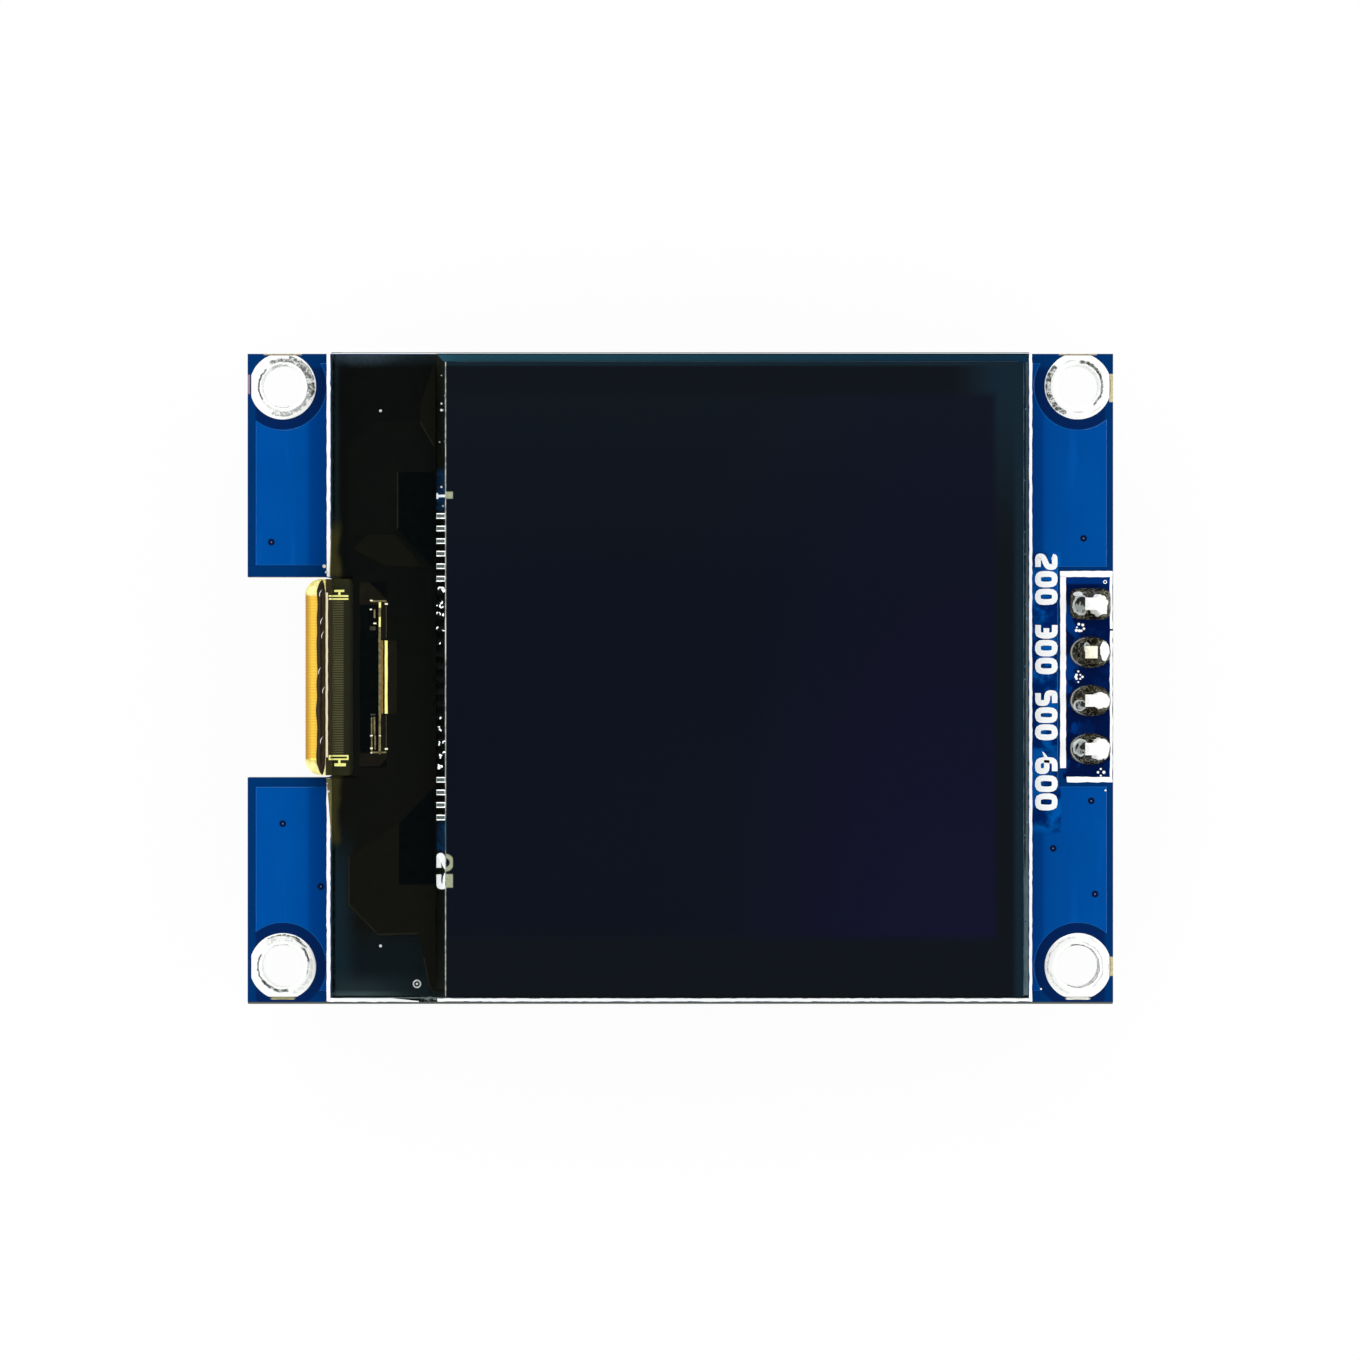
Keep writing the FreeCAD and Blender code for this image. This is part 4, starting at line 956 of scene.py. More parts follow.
def chip_pieces():
    """Fields, metal edges and painted glints on the driver chip."""
    rust = behind_finish("rust_film", srgb(28, 26, 19), srgb(23, 21, 16), 2.0)
    slate = behind_finish("slate_film", srgb(72, 68, 58), srgb(48, 45, 36), 6.0)
    dull = behind_finish("dull_metal", srgb(140, 110, 58), srgb(110, 88, 48), 6.0)
    worn = behind_finish("worn_gold", srgb(142, 130, 92), srgb(92, 84, 58), 5.0)
    gold = behind_finish("gold_edge", srgb(255, 252, 160), srgb(252, 244, 138), 5.0)
    pale = behind_finish("gold_glint", srgb(255, 255, 232), srgb(246, 240, 196), 6.0)
    seen_piece("chip_fields", rust, outlines=(
        [(-16.83, 5.1), (-16.32, 5.1), (-15.39, 4.16), (-15.39, 3.9), (-16.83, 3.9)],
        [(-16.83, -3.89), (-15.39, -3.89), (-15.39, -4.15), (-15.79, -4.57), (-16.83, -4.57)],
    ), blocks=((-15.32, -14.86, -1.81, 2.02, SEEN_TOP), (-15.66, -15.39, 2.1, 3.92, SEEN_TOP + 0.001),
               (-15.66, -15.39, -3.8, -1.86, SEEN_TOP + 0.001)))
    slate_top = SEEN_TOP + 0.002
    seen_piece("chip_slate_lines", slate,
               blocks=((-16.28, -15.98, 2.56, 2.76, slate_top), (-16.24, -15.98, -1.9, -1.82, slate_top)),
               strips=((-15.44, -15.4, 2.2, 3.8, slate_top, 0.2),
                       (-15.44, -15.4, -3.6, -1.9, slate_top, 0.2)),
               wander=(0.015, 5.1, 5.0))
    seen_piece("chip_dull_lines", dull,
               strips=((-15.7, -15.58, -1.81, 2.02, SEEN_TOP + 0.003, 0.2),), wander=(0.015, 5.1, 5.0))
    seen_piece("chip_worn_lines", worn,
               blocks=((-16.08, -15.99, 3.2, 3.66, SEEN_HIGH), (-16.08, -16.0, -2.9, -1.98, SEEN_HIGH),
                       (-16.22, -16.14, -3.78, -2.0, SEEN_HIGH), (-16.05, -15.97, -3.7, -2.95, SEEN_HIGH)),
               strips=((-15.82, -15.7, -3.94, 4.05, SEEN_HIGH, 0.2),
                       (-16.26, -15.42, 4.05, 4.13, SEEN_HIGH, 0.2),
                       (-16.26, -15.42, -3.88, -3.8, SEEN_HIGH, 0.2)),
               wander=(0.02, 8.1, 6.0))
    gold_top = SEEN_HIGH + 0.002
    seen_piece("chip_edge_lines", gold, blocks=((-15.81, -15.7, 3.75, 4.02, gold_top),),
               strips=((-15.5, -15.35, -1.81, 2.02, gold_top, 0.3),
                       (-15.81, -15.71, 2.74, 3.26, gold_top, 0.2)),
               wander=(0.012, 8.1, 6.0))
    # Painted glints: small bright spots on the chip's metal lines.
    mesh = bmesh.new()
    for x, y, radius in ((-16.2, 4.12, 0.09), (-15.41, 3.94, 0.1), (-16.22, 3.65, 0.08), (-16.02, 2.92, 0.09),
                         (-15.75, -2.97, 0.07), (-16.2, -2.97, 0.08), (-16.2, -3.63, 0.08),
                         (-16.2, -3.86, 0.07), (-15.42, -3.66, 0.1)):
        half_x = radius * 0.8
        half_y = radius * 0.45
        add_block(mesh, x - half_x, x + half_x, y - half_y, y + half_y, SEEN, SEEN_HIGH + 0.004, 0.02)
    ragged(mesh, 0.02, 1.7, 8.0)
    add_piece("chip_glints", mesh, pale)
    seen_piece("tab_prints", gold, blocks=(
        (-18.14, -17.62, 4.57, 4.68, SEEN_HIGH), (-17.94, -17.82, 4.38, 4.58, SEEN_HIGH),
        (-18.44, -17.4, 4.31, 4.4, SEEN_HIGH), (-18.44, -17.4, 4.16, 4.24, SEEN_HIGH),
        (-18.44, -17.4, -4.06, -3.98, SEEN_HIGH), (-18.44, -17.4, -4.24, -4.16, SEEN_HIGH),
        (-18.44, -18.36, -4.16, -4.06, SEEN_HIGH), (-17.48, -17.4, -4.16, -4.06, SEEN_HIGH),
        (-17.94, -17.82, -4.42, -4.24, SEEN_HIGH), (-18.14, -17.54, -4.57, -4.41, SEEN_HIGH),
    ), wander=(0.012, 2.2, 6.0))


def tape_rim(tape_surface):
    """Black tape round the chip and in the tab's rounded corners."""
    left, right = chip.left + 0.02, chip.right - 0.02
    front, back = chip.front + 0.02, chip.back - 0.02
    mesh = bmesh.new()
    for sides in ((-17.13, left, -5.1, 5.5), (right, -15.0, -5.1, 5.5), (left, right, back, 5.5),
                  (left, right, -5.1, front)):
        add_block(mesh, *sides, SEEN - 0.003, SEEN - 0.001)
    for side, y in ((1, 5.25), (-1, -5.05)):
        turn = arc(-17.15 - TAB_ROUND, y - side * TAB_ROUND, TAB_ROUND, 0, side * 90, 8)
        add_plate(mesh, turn + [(-17.12, y + side * 0.03)], SEEN + 0.001, SEEN + 0.004)
    add_piece("tape_rim", mesh, tape_surface)


def seen_marks(tape_surface):
    """Metal and film that show through the glass ledge: fan-out fields, chip edges and tab prints."""
    brown = behind_finish("fan_out_film", srgb(20, 20, 15), srgb(18, 18, 15), 2.0)
    faint = behind_finish("faint_film", srgb(15, 17, 15), srgb(12, 15, 13), 0.6)
    dark = behind_finish("fan_out_painted_shade", srgb(5, 8, 9), srgb(8, 11, 11), 2.0)
    seen_piece("fan_out_fields", brown, outlines=(
        [(-17.37, -9.29), (-17.37, -11.81), (-15.85, -13.39), (-13.7, -13.33), (-13.12, -16.43),
         (-12.85, -16.43), (-12.85, -10.77), (-14.75, -10.77), (-14.75, -7.58)],
        [(-12.97, 16.4), (-13.65, 14.4), (-13.65, 13.6), (-12.85, 12.2), (-12.85, 16.4)],
        [(-17.2, 6.8), (-16.4, 7.6), (-15.0, 7.6), (-13.6, 6.0), (-13.2, 5.9), (-15.4, 5.9)],
    ))
    seen_piece("fan_out_veil", faint, outlines=(
        [(-16.27, 13.5), (-17.43, 12.0), (-17.43, 7.4), (-16.4, 7.65), (-15.0, 7.65), (-14.83, 10.86),
         (-12.85, 10.86), (-12.85, 12.1), (-13.65, 13.5)],
    ))
    tape_rim(tape_surface)
    # Painted shade: dark sheets under the ledge where the fan-out and the chip lie in shade.
    seen_piece("fan_out_shade", dark, outlines=(
        [(-14.83, 10.84), (-14.83, 7.85), (-13.02, 5.93), (-12.85, 5.93), (-12.85, 10.84)],
        [(-14.74, -7.56), (-14.74, -10.75), (-12.85, -10.75), (-12.85, -5.6)],
    ), blocks=((chip.left, -15.8, -3.7, 2.2, SEEN_TOP),))
    chip_pieces()
    mesh = bmesh.new()
    for y in (14.07, -13.99):
        add_disc(mesh, -15.72, y, 0.075, SEEN, SEEN_HIGH, 16)
    spin(mesh, [(0.15, SEEN), (0.22, SEEN), (0.22, SEEN_HIGH), (0.15, SEEN_HIGH)], -13.81, -15.98, 32)
    add_disc(mesh, -13.81, -15.98, 0.06, SEEN, SEEN_HIGH, 12)
    white = behind_finish("pale_mark", srgb(214, 218, 216), srgb(170, 176, 174), 6.0)
    add_piece("alignment_marks", mesh, white)
    mesh = bmesh.new()
    for line in ([(-17.37, -9.3), (-17.37, -11.81), (-15.85, -13.39), (-13.75, -13.33)],
                 [(-13.45, -14.6), (-13.15, -16.1), (-12.95, -16.4), (-12.3, -16.45)],
                 [(-14.83, 7.9), (-14.83, 10.86)], [(-13.65, 13.5), (-12.9, 12.2)]):
        add_stroke(mesh, line, 0.035, SEEN, SEEN_TOP + 0.001)
    border = behind_finish("border_line", srgb(38, 38, 30), srgb(28, 29, 24), 3.0)
    add_piece("fan_out_borders", mesh, border)


def border_finish():
    """What shows through the clear rim of the glass, right of the film and above it, with painted highlights
    on the glass.
    """
    finish = Finish("rim_film", Roughness=0.8, Specular_IOR_Level=0.0)
    chips = finish.grain(6.0, 4.0, 0.6, (1.0, 0.3, 1.0))
    side = finish.mix(finish.rise(finish.y, 4.0, 8.0), srgb(14, 22, 28), srgb(20, 42, 62))
    side = finish.mix(finish.band(finish.y, -9.5, 2.0, 0.6) * chips, side, srgb(70, 66, 74))
    # Painted sheen: a lighter silver tone on the lower part of the right rim.
    painted_silver_sheen = finish.mix(chips, srgb(84, 114, 128), srgb(146, 164, 170))
    side = finish.mix(1 - finish.rise(finish.y, -10.5, -9.0), side, painted_silver_sheen)
    # Painted highlight: a pale line along the glass's outer edge, weaker higher up.
    outer = finish.rise(finish.x, 18.09, 18.13) * (0.55 + chips * 0.45)
    outer = outer * (1 - finish.rise(finish.y, 3.0, 8.0) * 0.5)
    side = finish.mix(outer, side, srgb(132, 152, 154))
    across = finish.rise(finish.x, film.left, film.right)
    top = finish.mix(across, srgb(44, 90, 108), srgb(26, 62, 88))
    top = finish.mix(finish.rise(finish.y, 17.0, 17.04), top, srgb(8, 22, 28))
    tone = finish.mix(finish.rise(finish.y, 16.6, 16.62), side, top)
    tone = finish.mix(finish.rise(finish.x, 17.0, 17.5), top, tone)
    low = 1 - finish.rise(finish.y, -16.58, -16.56)
    tone = finish.mix(low, tone, srgb(18, 26, 32))
    finish.surface(Base_Color=tone)
    finish.bump(chips, 0.001)
    return finish


def film_cut_highlight():
    """The film's left edge: a pale painted highlight line, brightest above the middle and blue at the lower
    label.
    """
    finish = Finish("film_cut_highlight", Roughness=0.8, Specular_IOR_Level=0.0)
    grain = finish.grain(3.0, 4.0, 0.6)
    tone = finish.mix(finish.rise(grain, 0.38, 0.62), srgb(142, 148, 148), srgb(214, 218, 214))
    tone = finish.mix(finish.band(finish.y, 1.2, 3.4, 0.5), tone, srgb(255, 255, 252))
    tone = finish.mix(finish.band(finish.y, -9.1, -7.1, 0.3), tone, srgb(80, 106, 120))
    finish.surface(Base_Color=tone)
    finish.bump(grain, 0.0005)
    return finish


def panel_border():
    """The films seen through the rim of the glass with painted highlights, and painted highlights on the
    film's own edges.
    """
    seen_piece("rim_films", border_finish(), outlines=(
        [(-12.8, 17.07), (-12.42, 16.66), (18.22, 16.66), (18.22, 17.07)],
        [(17.96, -16.66), (18.23, -16.66), (18.23, 16.64), (17.96, 16.64)],
        [(-12.4, -16.68), (17.96, -16.68), (17.96, -16.58), (-12.4, -16.58)],
    ))
    low = glass.top
    foot = glass.top - 0.004
    rough = random.Random(21)
    mesh = bmesh.new()
    add_strip(mesh, film.left - 0.06, film.left - 0.002, film.front, film.back, low, low + 0.06, 0.2)
    ragged(mesh, 0.01, 4.1, 3.0)
    for _ in range(11):
        y = rough.uniform(8.8, 16.4)
        x = film.left - 0.05 - rough.choice((0.0, 0.0, 0.12, 0.2, 0.3))
        add_disc(mesh, x, y, rough.uniform(0.03, 0.07), foot, low + 0.07, 7)
    add_piece("film_edge_left_highlight", mesh, film_cut_highlight())
    mesh = bmesh.new()
    add_strip(mesh, film.right + 0.002, film.right + 0.035, film.front, film.back, low, low + 0.05, 0.3)
    ragged(mesh, 0.008, 6.1, 3.0)
    for turn in range(26):
        y = rough.uniform(-16.4, 5.5) if turn < 22 else rough.uniform(6.0, 16.5)
        x = film.right + rough.uniform(0.04, 0.22)
        add_disc(mesh, x, y, rough.uniform(0.02, 0.05), foot, low + 0.05, 7)
    # A dimmer painted highlight along the film's right edge.
    dim_edge_highlight = behind_finish("film_cut_dim", srgb(44, 84, 112), srgb(110, 140, 160), 1.2, 0.3)
    add_piece("film_edge_right_highlight", mesh, dim_edge_highlight)


# Ribbon


def ribbon_finish():
    """Amber film over copper traces: orange round the fold, pale where the film is bare."""
    finish = Finish("amber_film", Roughness=0.4, Specular_IOR_Level=0.1)
    lines = finish.y.stripes(0.1525)
    patch = finish.grain(1.2, 3.0)
    inner = finish.rise(finish.x, -19.66, -19.24)
    amber = finish.mix(inner, srgb(176, 128, 40), srgb(246, 206, 76))
    copper = finish.mix(inner, srgb(180, 122, 36), srgb(226, 162, 44))
    amber = finish.mix(lines * (0.25 + patch * 0.4), amber, copper)
    edge = 1 - finish.rise(finish.x, -19.68, -19.63)
    amber = finish.mix(edge, amber, srgb(226, 206, 160))
    ends = abs(finish.y - 0.1)
    bare = finish.rise(ends + (patch - 0.5) * 0.3, 4.2, 4.4)
    pale = finish.mix(finish.rise(patch, 0.4, 0.6), srgb(206, 184, 74), srgb(250, 244, 170))
    amber = finish.mix(bare, amber, pale)
    end_line = finish.band(finish.y, -4.26, -4.14, 0.02) * finish.rise(finish.x, -19.4, -19.35)
    amber = finish.mix(end_line, amber, srgb(255, 240, 110))
    under = finish.rise(finish.x, -18.62, -18.58)
    traced = finish.band(finish.x, -18.24, -17.66, 0.03) * (1 - finish.rise(ends, 4.05, 4.15))
    fine = finish.y.stripes(0.125)
    tab = finish.mix(finish.rise(ends, 4.6, 5.2), srgb(36, 37, 22), srgb(44, 44, 22))
    tab = finish.mix(fine * traced * (0.3 + patch * 0.7), tab, srgb(112, 106, 72))
    tab = finish.mix((1 - finish.rise(finish.x, -18.34, -18.26)) * 0.6, tab, srgb(60, 50, 28))
    end = finish.rise(finish.x, -17.42, -17.22) * 0.8
    tab = finish.mix(end, tab, srgb(18, 20, 14))
    finish.surface(Base_Color=finish.mix(under, amber, tab))
    finish.bump(lines * (1 - under) + patch * 0.4, 0.012)
    return finish


def glue_bead():
    """Dark glossy glue along the glass edge, with a wavy outer border."""
    finish = Finish("dark_glue", Roughness=0.1, Specular_IOR_Level=0.12)
    cloud = finish.grain(2.5, 3.0)
    tone = finish.mix(cloud, srgb(14, 9, 4), srgb(50, 36, 22))
    for x, y in ((-18.84, 3.05), (-18.79, 2.32), (-18.95, 0.43), (-18.74, -0.57), (-18.9, 4.5),
                 (-18.85, -3.2)):
        off_y = finish.y - y
        off_x = (finish.x - x - off_y * 0.3 - off_y * off_y * 1.6) * 3.0
        off_y = off_y * 0.3
        glint = 1 - finish.rise((off_x * off_x + off_y * off_y) ** 0.5, 0.03, 0.07)
        tone = finish.mix(glint, tone, srgb(250, 246, 240))
    finish.surface(Base_Color=tone)
    finish.bump(cloud, 0.02)
    steps = 90
    front, back = -5.02, 5.2
    core = -18.78
    sections = []
    for step in range(steps + 1):
        y = front + (back - front) * step / steps
        full = max(0.1, min(1.0, math.sqrt(min(step, steps - step) / 5)))
        sway = noise.noise(Vector((0.0, y * 0.9, 4.0))) * 0.1
        outline = ((-19.06 + sway, 0.0), (-18.98 + sway, 0.1), (-18.84, 0.15), (-18.72, 0.12), (-18.62, 0.0))
        sections.append([(core + (x - core) * full, y, glass.bottom + lift * full) for x, lift in outline])
    mesh = bmesh.new()
    add_loft(mesh, sections)
    add_piece("glue_bead", mesh, finish, ["ribbon_glue"], smooth=70)
    # Painted highlight: a cream line along the glue's inner edge next to the glass.
    mesh = bmesh.new()
    add_strip(mesh, -18.58, -18.48, -4.1, 4.53, glass.bottom, glass.bottom + 0.05)
    ragged(mesh, 0.02, 5.5)
    cream = plain_finish("glue_rim_highlight", srgb(250, 240, 216), srgb(236, 220, 184), 3.0, 0.5, 0.01)
    add_piece("glue_rim_highlight", mesh, cream)


def glue_smears():
    """Glue that ran out along the glass edge above and below the ribbon, and painted glints beside it."""
    mesh = bmesh.new()
    low = board.top
    top = board.top + INK_TOP + 0.01
    for outline in ([(-18.44, 5.42), (-18.36, 5.42), (-18.34, 7.9), (-18.37, 7.9)],
                    [(-18.62, -5.22), (-18.3, -5.22), (-18.28, -8.6), (-18.34, -8.6), (-18.5, -6.4)]):
        add_plate(mesh, outline, low, top)
    ragged(mesh, 0.01, 9.1, 3.0)
    smear = plain_finish("smeared_glue", srgb(92, 84, 44), srgb(168, 156, 100), 3.0, 0.3, 0.01)
    add_piece("glue_smears", mesh, smear)
    # Painted glints: small white spots by the glass edge.
    mesh = bmesh.new()
    for x, y, radius in ((-18.72, 5.93, 0.1), (-18.6, 5.62, 0.07), (-18.48, -5.9, 0.07),
                         (-18.56, -5.5, 0.05)):
        add_disc(mesh, x, y, radius, low, top + 0.02, 10)
    ragged(mesh, 0.02, 3.1, 6.0)
    glint_tone = plain_finish("glue_edge_glint", srgb(255, 255, 250), srgb(226, 222, 196), 5.0, 0.3, 0.01)
    add_piece("glue_edge_glints", mesh, glint_tone)


def contact_finish():
    """Bright solder that glows, with painted shade in its recessed middles and on the low bodies that catch
    no light.
    """
    finish = Finish("contact_solder", Metallic=0.1, Roughness=0.5, Specular_IOR_Level=0.2,
                    Emission_Strength=CONTACT_GLOW)
    grain = finish.grain(7.0, 3.0)
    # Painted shade: the recessed middles and the low bodies are darkened.
    sunk_shade = 1 - finish.rise(finish.z, CONTACT_TOP - 0.04, CONTACT_TOP - 0.01)
    bright = finish.mix(finish.rise(grain, 0.4, 0.6), srgb(255, 255, 255), srgb(206, 212, 208))
    tone = finish.mix(sunk_shade, bright, finish.mix(grain, srgb(24, 30, 30), srgb(84, 92, 90)))
    low = 1 - finish.rise(finish.z, CONTACT_TOP - 0.09, CONTACT_TOP - 0.07)
    tone = finish.mix(low, tone, srgb(4, 6, 6))
    finish.surface(Base_Color=tone, Emission_Color=tone)
    finish.bump(grain, 0.01)
    return finish


def ribbon_joints(finish):
    """The soldered contacts: neat towards the ends of the row, broken up in its middle."""
    first_broken, middle, last_broken = 4, 11, 18
    inset = 0.17
    pitch = (pads.back - pads.front - 2 * inset) / (CONTACTS - 1)
    rough = random.Random(11)
    mesh = bmesh.new()
    for index in range(CONTACTS):
        y = pads.front + inset + pitch * index
        broken = first_broken <= index <= last_broken
        top = CONTACT_TOP - 0.1 if broken else CONTACT_TOP
        made = add_block(mesh, pads.left, pads.right, y - CONTACT_HALF, y + CONTACT_HALF, board.top, top,
                         0.05)
        if not broken:
            cap = max((face for spot in made for face in spot.link_faces if face.normal.z > 0.9),
                      key=lambda face: face.calc_area())
            bmesh.ops.inset_individual(mesh, faces=[cap], thickness=0.1, depth=-0.06)
            continue
        for speck in range(abs(index - middle) - 2):
            x = pads.left + 0.1 + rough.uniform(0, 0.36)
            spot_y = y + rough.uniform(-CONTACT_HALF, CONTACT_HALF)
            start = rough.uniform(0, 360)
            hook = arc(x, spot_y, rough.uniform(0.04, 0.1), start, start + rough.uniform(60, 220), 6)
            add_stroke(mesh, hook, rough.uniform(0.018, 0.034), board.top, CONTACT_TOP + speck * 0.002)
    add_piece("ribbon_contacts", mesh, finish, ["ribbon_solder"])


# Underside


CAPACITORS = [f"panel_capacitor_{number}" for number in range(1, 7)]
RESISTORS = [f"panel_resistor_{number}" for number in range(1, 6)]
LYING = CAPACITORS + RESISTORS + ["bus_resistor_1", "bus_resistor_2", "boost_capacitor"]
STANDING = ["feedback_resistor_1", "feedback_resistor_2", "supply_capacitor_1", "supply_capacitor_2"]

# Two tones of a chip's body, and the length of its tinned ends
CREAM = srgb(176, 142, 104), srgb(150, 116, 82), 0.45
BLACK = srgb(24, 24, 28), srgb(36, 36, 42), 0.3


def terminal_finish(node, ceramic, shade, terminal, along_x):
    """Ceramic chip with a tinned cap on each end."""
    spot = Span(node)
    finish = Finish(node)
    centre = spot.middle_x if along_x else spot.middle_y
    half = (spot.right - spot.left) / 2 if along_x else (spot.back - spot.front) / 2
    along = abs((finish.x if along_x else finish.y) - centre)
    cap = finish.rise(along, half - terminal - 0.015, half - terminal + 0.015)
    grain = finish.grain(9.0, 4.0)
    body = finish.mix(grain, ceramic, shade)
    tin = finish.mix(grain, srgb(222, 222, 216), srgb(176, 178, 174))
    finish.surface(Base_Color=finish.mix(cap, body, tin), Metallic=cap * 0.9, Roughness=0.55 - cap * 0.25)
    finish.bump(grain, 0.012)
    return finish


def moulded_finish(node, body_half, along_x):
    """Black moulding whose leads, beyond the sides, are tinned."""
    spot = Span(node)
    finish = Finish(f"{node}_moulding")
    out = abs((finish.x - spot.middle_x) if along_x else (finish.y - spot.middle_y))
    lead = finish.rise(out, body_half - 0.01, body_half + 0.02)
    grain = finish.grain(12.0, 4.0)
    black = finish.mix(grain, srgb(26, 26, 28), srgb(40, 40, 42))
    tin = finish.mix(grain, srgb(220, 220, 214), srgb(178, 180, 176))
    finish.surface(Base_Color=finish.mix(lead, black, tin), Metallic=lead * 0.9, Roughness=0.55 - lead * 0.25)
    finish.bump(grain, 0.01)
    return finish


def dress_underside():
    """Finishes of the parts soldered to the underside."""
    for node in LYING + STANDING:
        tones = BLACK if "resistor" in node else CREAM
        dress(terminal_finish(node, *tones, node in LYING), node)
    for node, body_half, along_x in (("boost_converter", 0.8, False), ("voltage_regulator", 0.8, True),
                                     ("rectifier_diode", 1.35, True)):
        dress(moulded_finish(node, body_half, along_x), node)
    copper = Finish("copper_winding", Metallic=0.8, Roughness=0.3)
    turns = copper.z.stripes(0.16)
    copper.surface(Base_Color=copper.mix(turns, srgb(120, 58, 24), srgb(206, 118, 62)))
    copper.bump(turns, 0.05)
    dress(copper, "inductor_coil")


def add_fillet(mesh, x, y, out_x, out_y, width, reach, height):
    """Solder that slopes from a terminal's face, hanging below the board, down to its pad."""
    side = abs(out_y)
    half_x = (reach * abs(out_x) + width * side) / 2
    half_y = (reach * side + width * abs(out_x)) / 2
    centre_x = x + out_x * reach / 2
    centre_y = y + out_y * reach / 2
    made = add_block(mesh, centre_x - half_x, centre_x + half_x, centre_y - half_y, centre_y + half_y,
                     -height, 0.002)
    for spot in made:
        outward = (spot.co.x - centre_x) * out_x + (spot.co.y - centre_y) * out_y
        if outward > 0 and spot.co.z < -LEVEL:
            spot.co.z = -0.05
        elif spot.co.z < -LEVEL:
            spot.co.x -= (spot.co.x - centre_x) * 0.12 * side
            spot.co.y -= (spot.co.y - centre_y) * 0.12 * abs(out_x)


def underside_solder():
    """Solder at each terminal and lead on the underside."""
    finish = plain_finish("small_solder", srgb(212, 214, 210), srgb(160, 164, 162), 6.0, 0.26, 0.012, 0.85)
    mesh = bmesh.new()
    for node in LYING:
        part = Span(node)
        width = (part.back - part.front) * 0.96
        for x, out in ((part.left, -1), (part.right, 1)):
            add_fillet(mesh, x, part.middle_y, out, 0, width, 0.3, -part.bottom * 0.62)
    for node in STANDING:
        part = Span(node)
        width = (part.right - part.left) * 0.96
        for y, out in ((part.front, -1), (part.back, 1)):
            add_fillet(mesh, part.middle_x, y, 0, out, width, 0.3, -part.bottom * 0.62)
    boost = Span("boost_converter")
    for step in (-0.95, 0.0, 0.95):
        for y, out in ((boost.front, -1), (boost.back, 1)):
            add_fillet(mesh, boost.middle_x + step, y, 0, out, 0.5, 0.26, 0.13)
    regulator = Span("voltage_regulator")
    for x, out, step in ((regulator.left, -1, 0.0), (regulator.right, 1, -0.95), (regulator.right, 1, 0.95)):
        add_fillet(mesh, x, regulator.middle_y + step, out, 0, 0.5, 0.26, 0.13)
    diode = Span("rectifier_diode")
    for x, out in ((diode.left, -1), (diode.right, 1)):
        add_fillet(mesh, x, diode.middle_y, out, 0, 0.8, 0.3, 0.14)
    add_piece("small_solder_fillets", mesh, finish)


def underside_copper(finish):
    """Masked traces and pours between the parts of the underside, with the holes that lead through."""
    mesh = bmesh.new()
    spots = []
    drive, bus, logic = -11.2, -6.5, -2.9
    for nodes, first_end, last_end, half, lead_through in ((CAPACITORS, drive, bus, 0.18, drive),
                                                           (RESISTORS, bus, logic, 0.1, logic)):
        for node in nodes:
            part = Span(node)
            y = part.middle_y
            add_stroke(mesh, [(part.left - 0.2, y), (first_end, y)], 0.14, -POUR_HEIGHT, 0.002)
            add_stroke(mesh, [(part.right + 0.2, y), (last_end, y)], half, -POUR_HEIGHT, 0.002)
            spots.append((lead_through, y))
    runs = (
        (0.3, [(bus, 7.4), (bus, -7.4)]),
        (0.2, [(21.5, 5.9), (21.5, 8.4), (18.6, 9.6), (-3.6, 9.6), (bus, 7.2)]),
        (0.25, [(20.0, 1.41), (16.4, 1.41), (14.6, 3.2), (14.6, 5.2), (13.2, 5.8)]),
        (0.12, [(20.0, -1.13), (17.4, -1.13), (16.3, -2.2), (15.75, -2.4)]),
        (0.12, [(20.0, -3.67), (17.0, -3.67), (16.1, -4.4), (15.75, -4.6)]),
        (0.12, [(13.5, -2.4), (12.2, -2.4), (11.4, -1.6), (-1.0, -0.2), (-2.9, 0.9)]),
        (0.12, [(13.5, -4.6), (12.6, -4.6), (11.2, -3.2), (10.6, -1.0), (-0.6, 0.8), (-2.9, 1.9)]),
        (0.25, [(12.2, 6.3), (10.2, 6.3)]), (0.25, [(7.0, 5.0), (5.9, 4.2)]),
        (0.25, [(5.0, 3.7), (5.0, 1.8), (6.4, 0.6), (7.8, -1.2), (7.8, -3.2)]),
        (0.3, [(7.8, -8.0), (7.8, -9.6), (7.1, -9.6)]), (0.25, [(2.9, -9.6), (0.4, -9.0), (-1.2, -8.9)]),
        (0.2, [(2.2, -7.2), (2.2, -8.6)]), (0.15, [(1.25, -3.95), (1.25, -3.2), (0.95, -2.0)]),
        (0.12, [(-1.2, -6.7), (0.2, -6.9), (1.25, -7.2)]),
    )
    for layer, (half, points) in enumerate(runs):
        add_stroke(mesh, points, half, -POUR_HEIGHT - 0.0005 * (layer + 1), 0.002)
    spots += [(2.2, -8.6), (18.6, 9.6), (-1.0, 9.6), (12.2, 7.6), (0.4, -10.8), (-14.6, 4.2), (-14.6, -6.2),
              (6.2, 9.6), (17.2, -12.4), (-4.4, -12.6), (9.4, -13.2)]
    add_piece("underside_traces", mesh, finish)
    mesh = bmesh.new()
    for x, y in spots:
        spin(mesh, [(0.12, 0.001), (0.3, 0.001), (0.3, -0.045), (0.12, -0.045)], x, y, 18)
    ring = plain_finish("via_rim", srgb(2, 24, 70), srgb(6, 44, 100), 6.0, 0.25, 0.003)
    add_piece("underside_vias", mesh, ring, smooth=30)


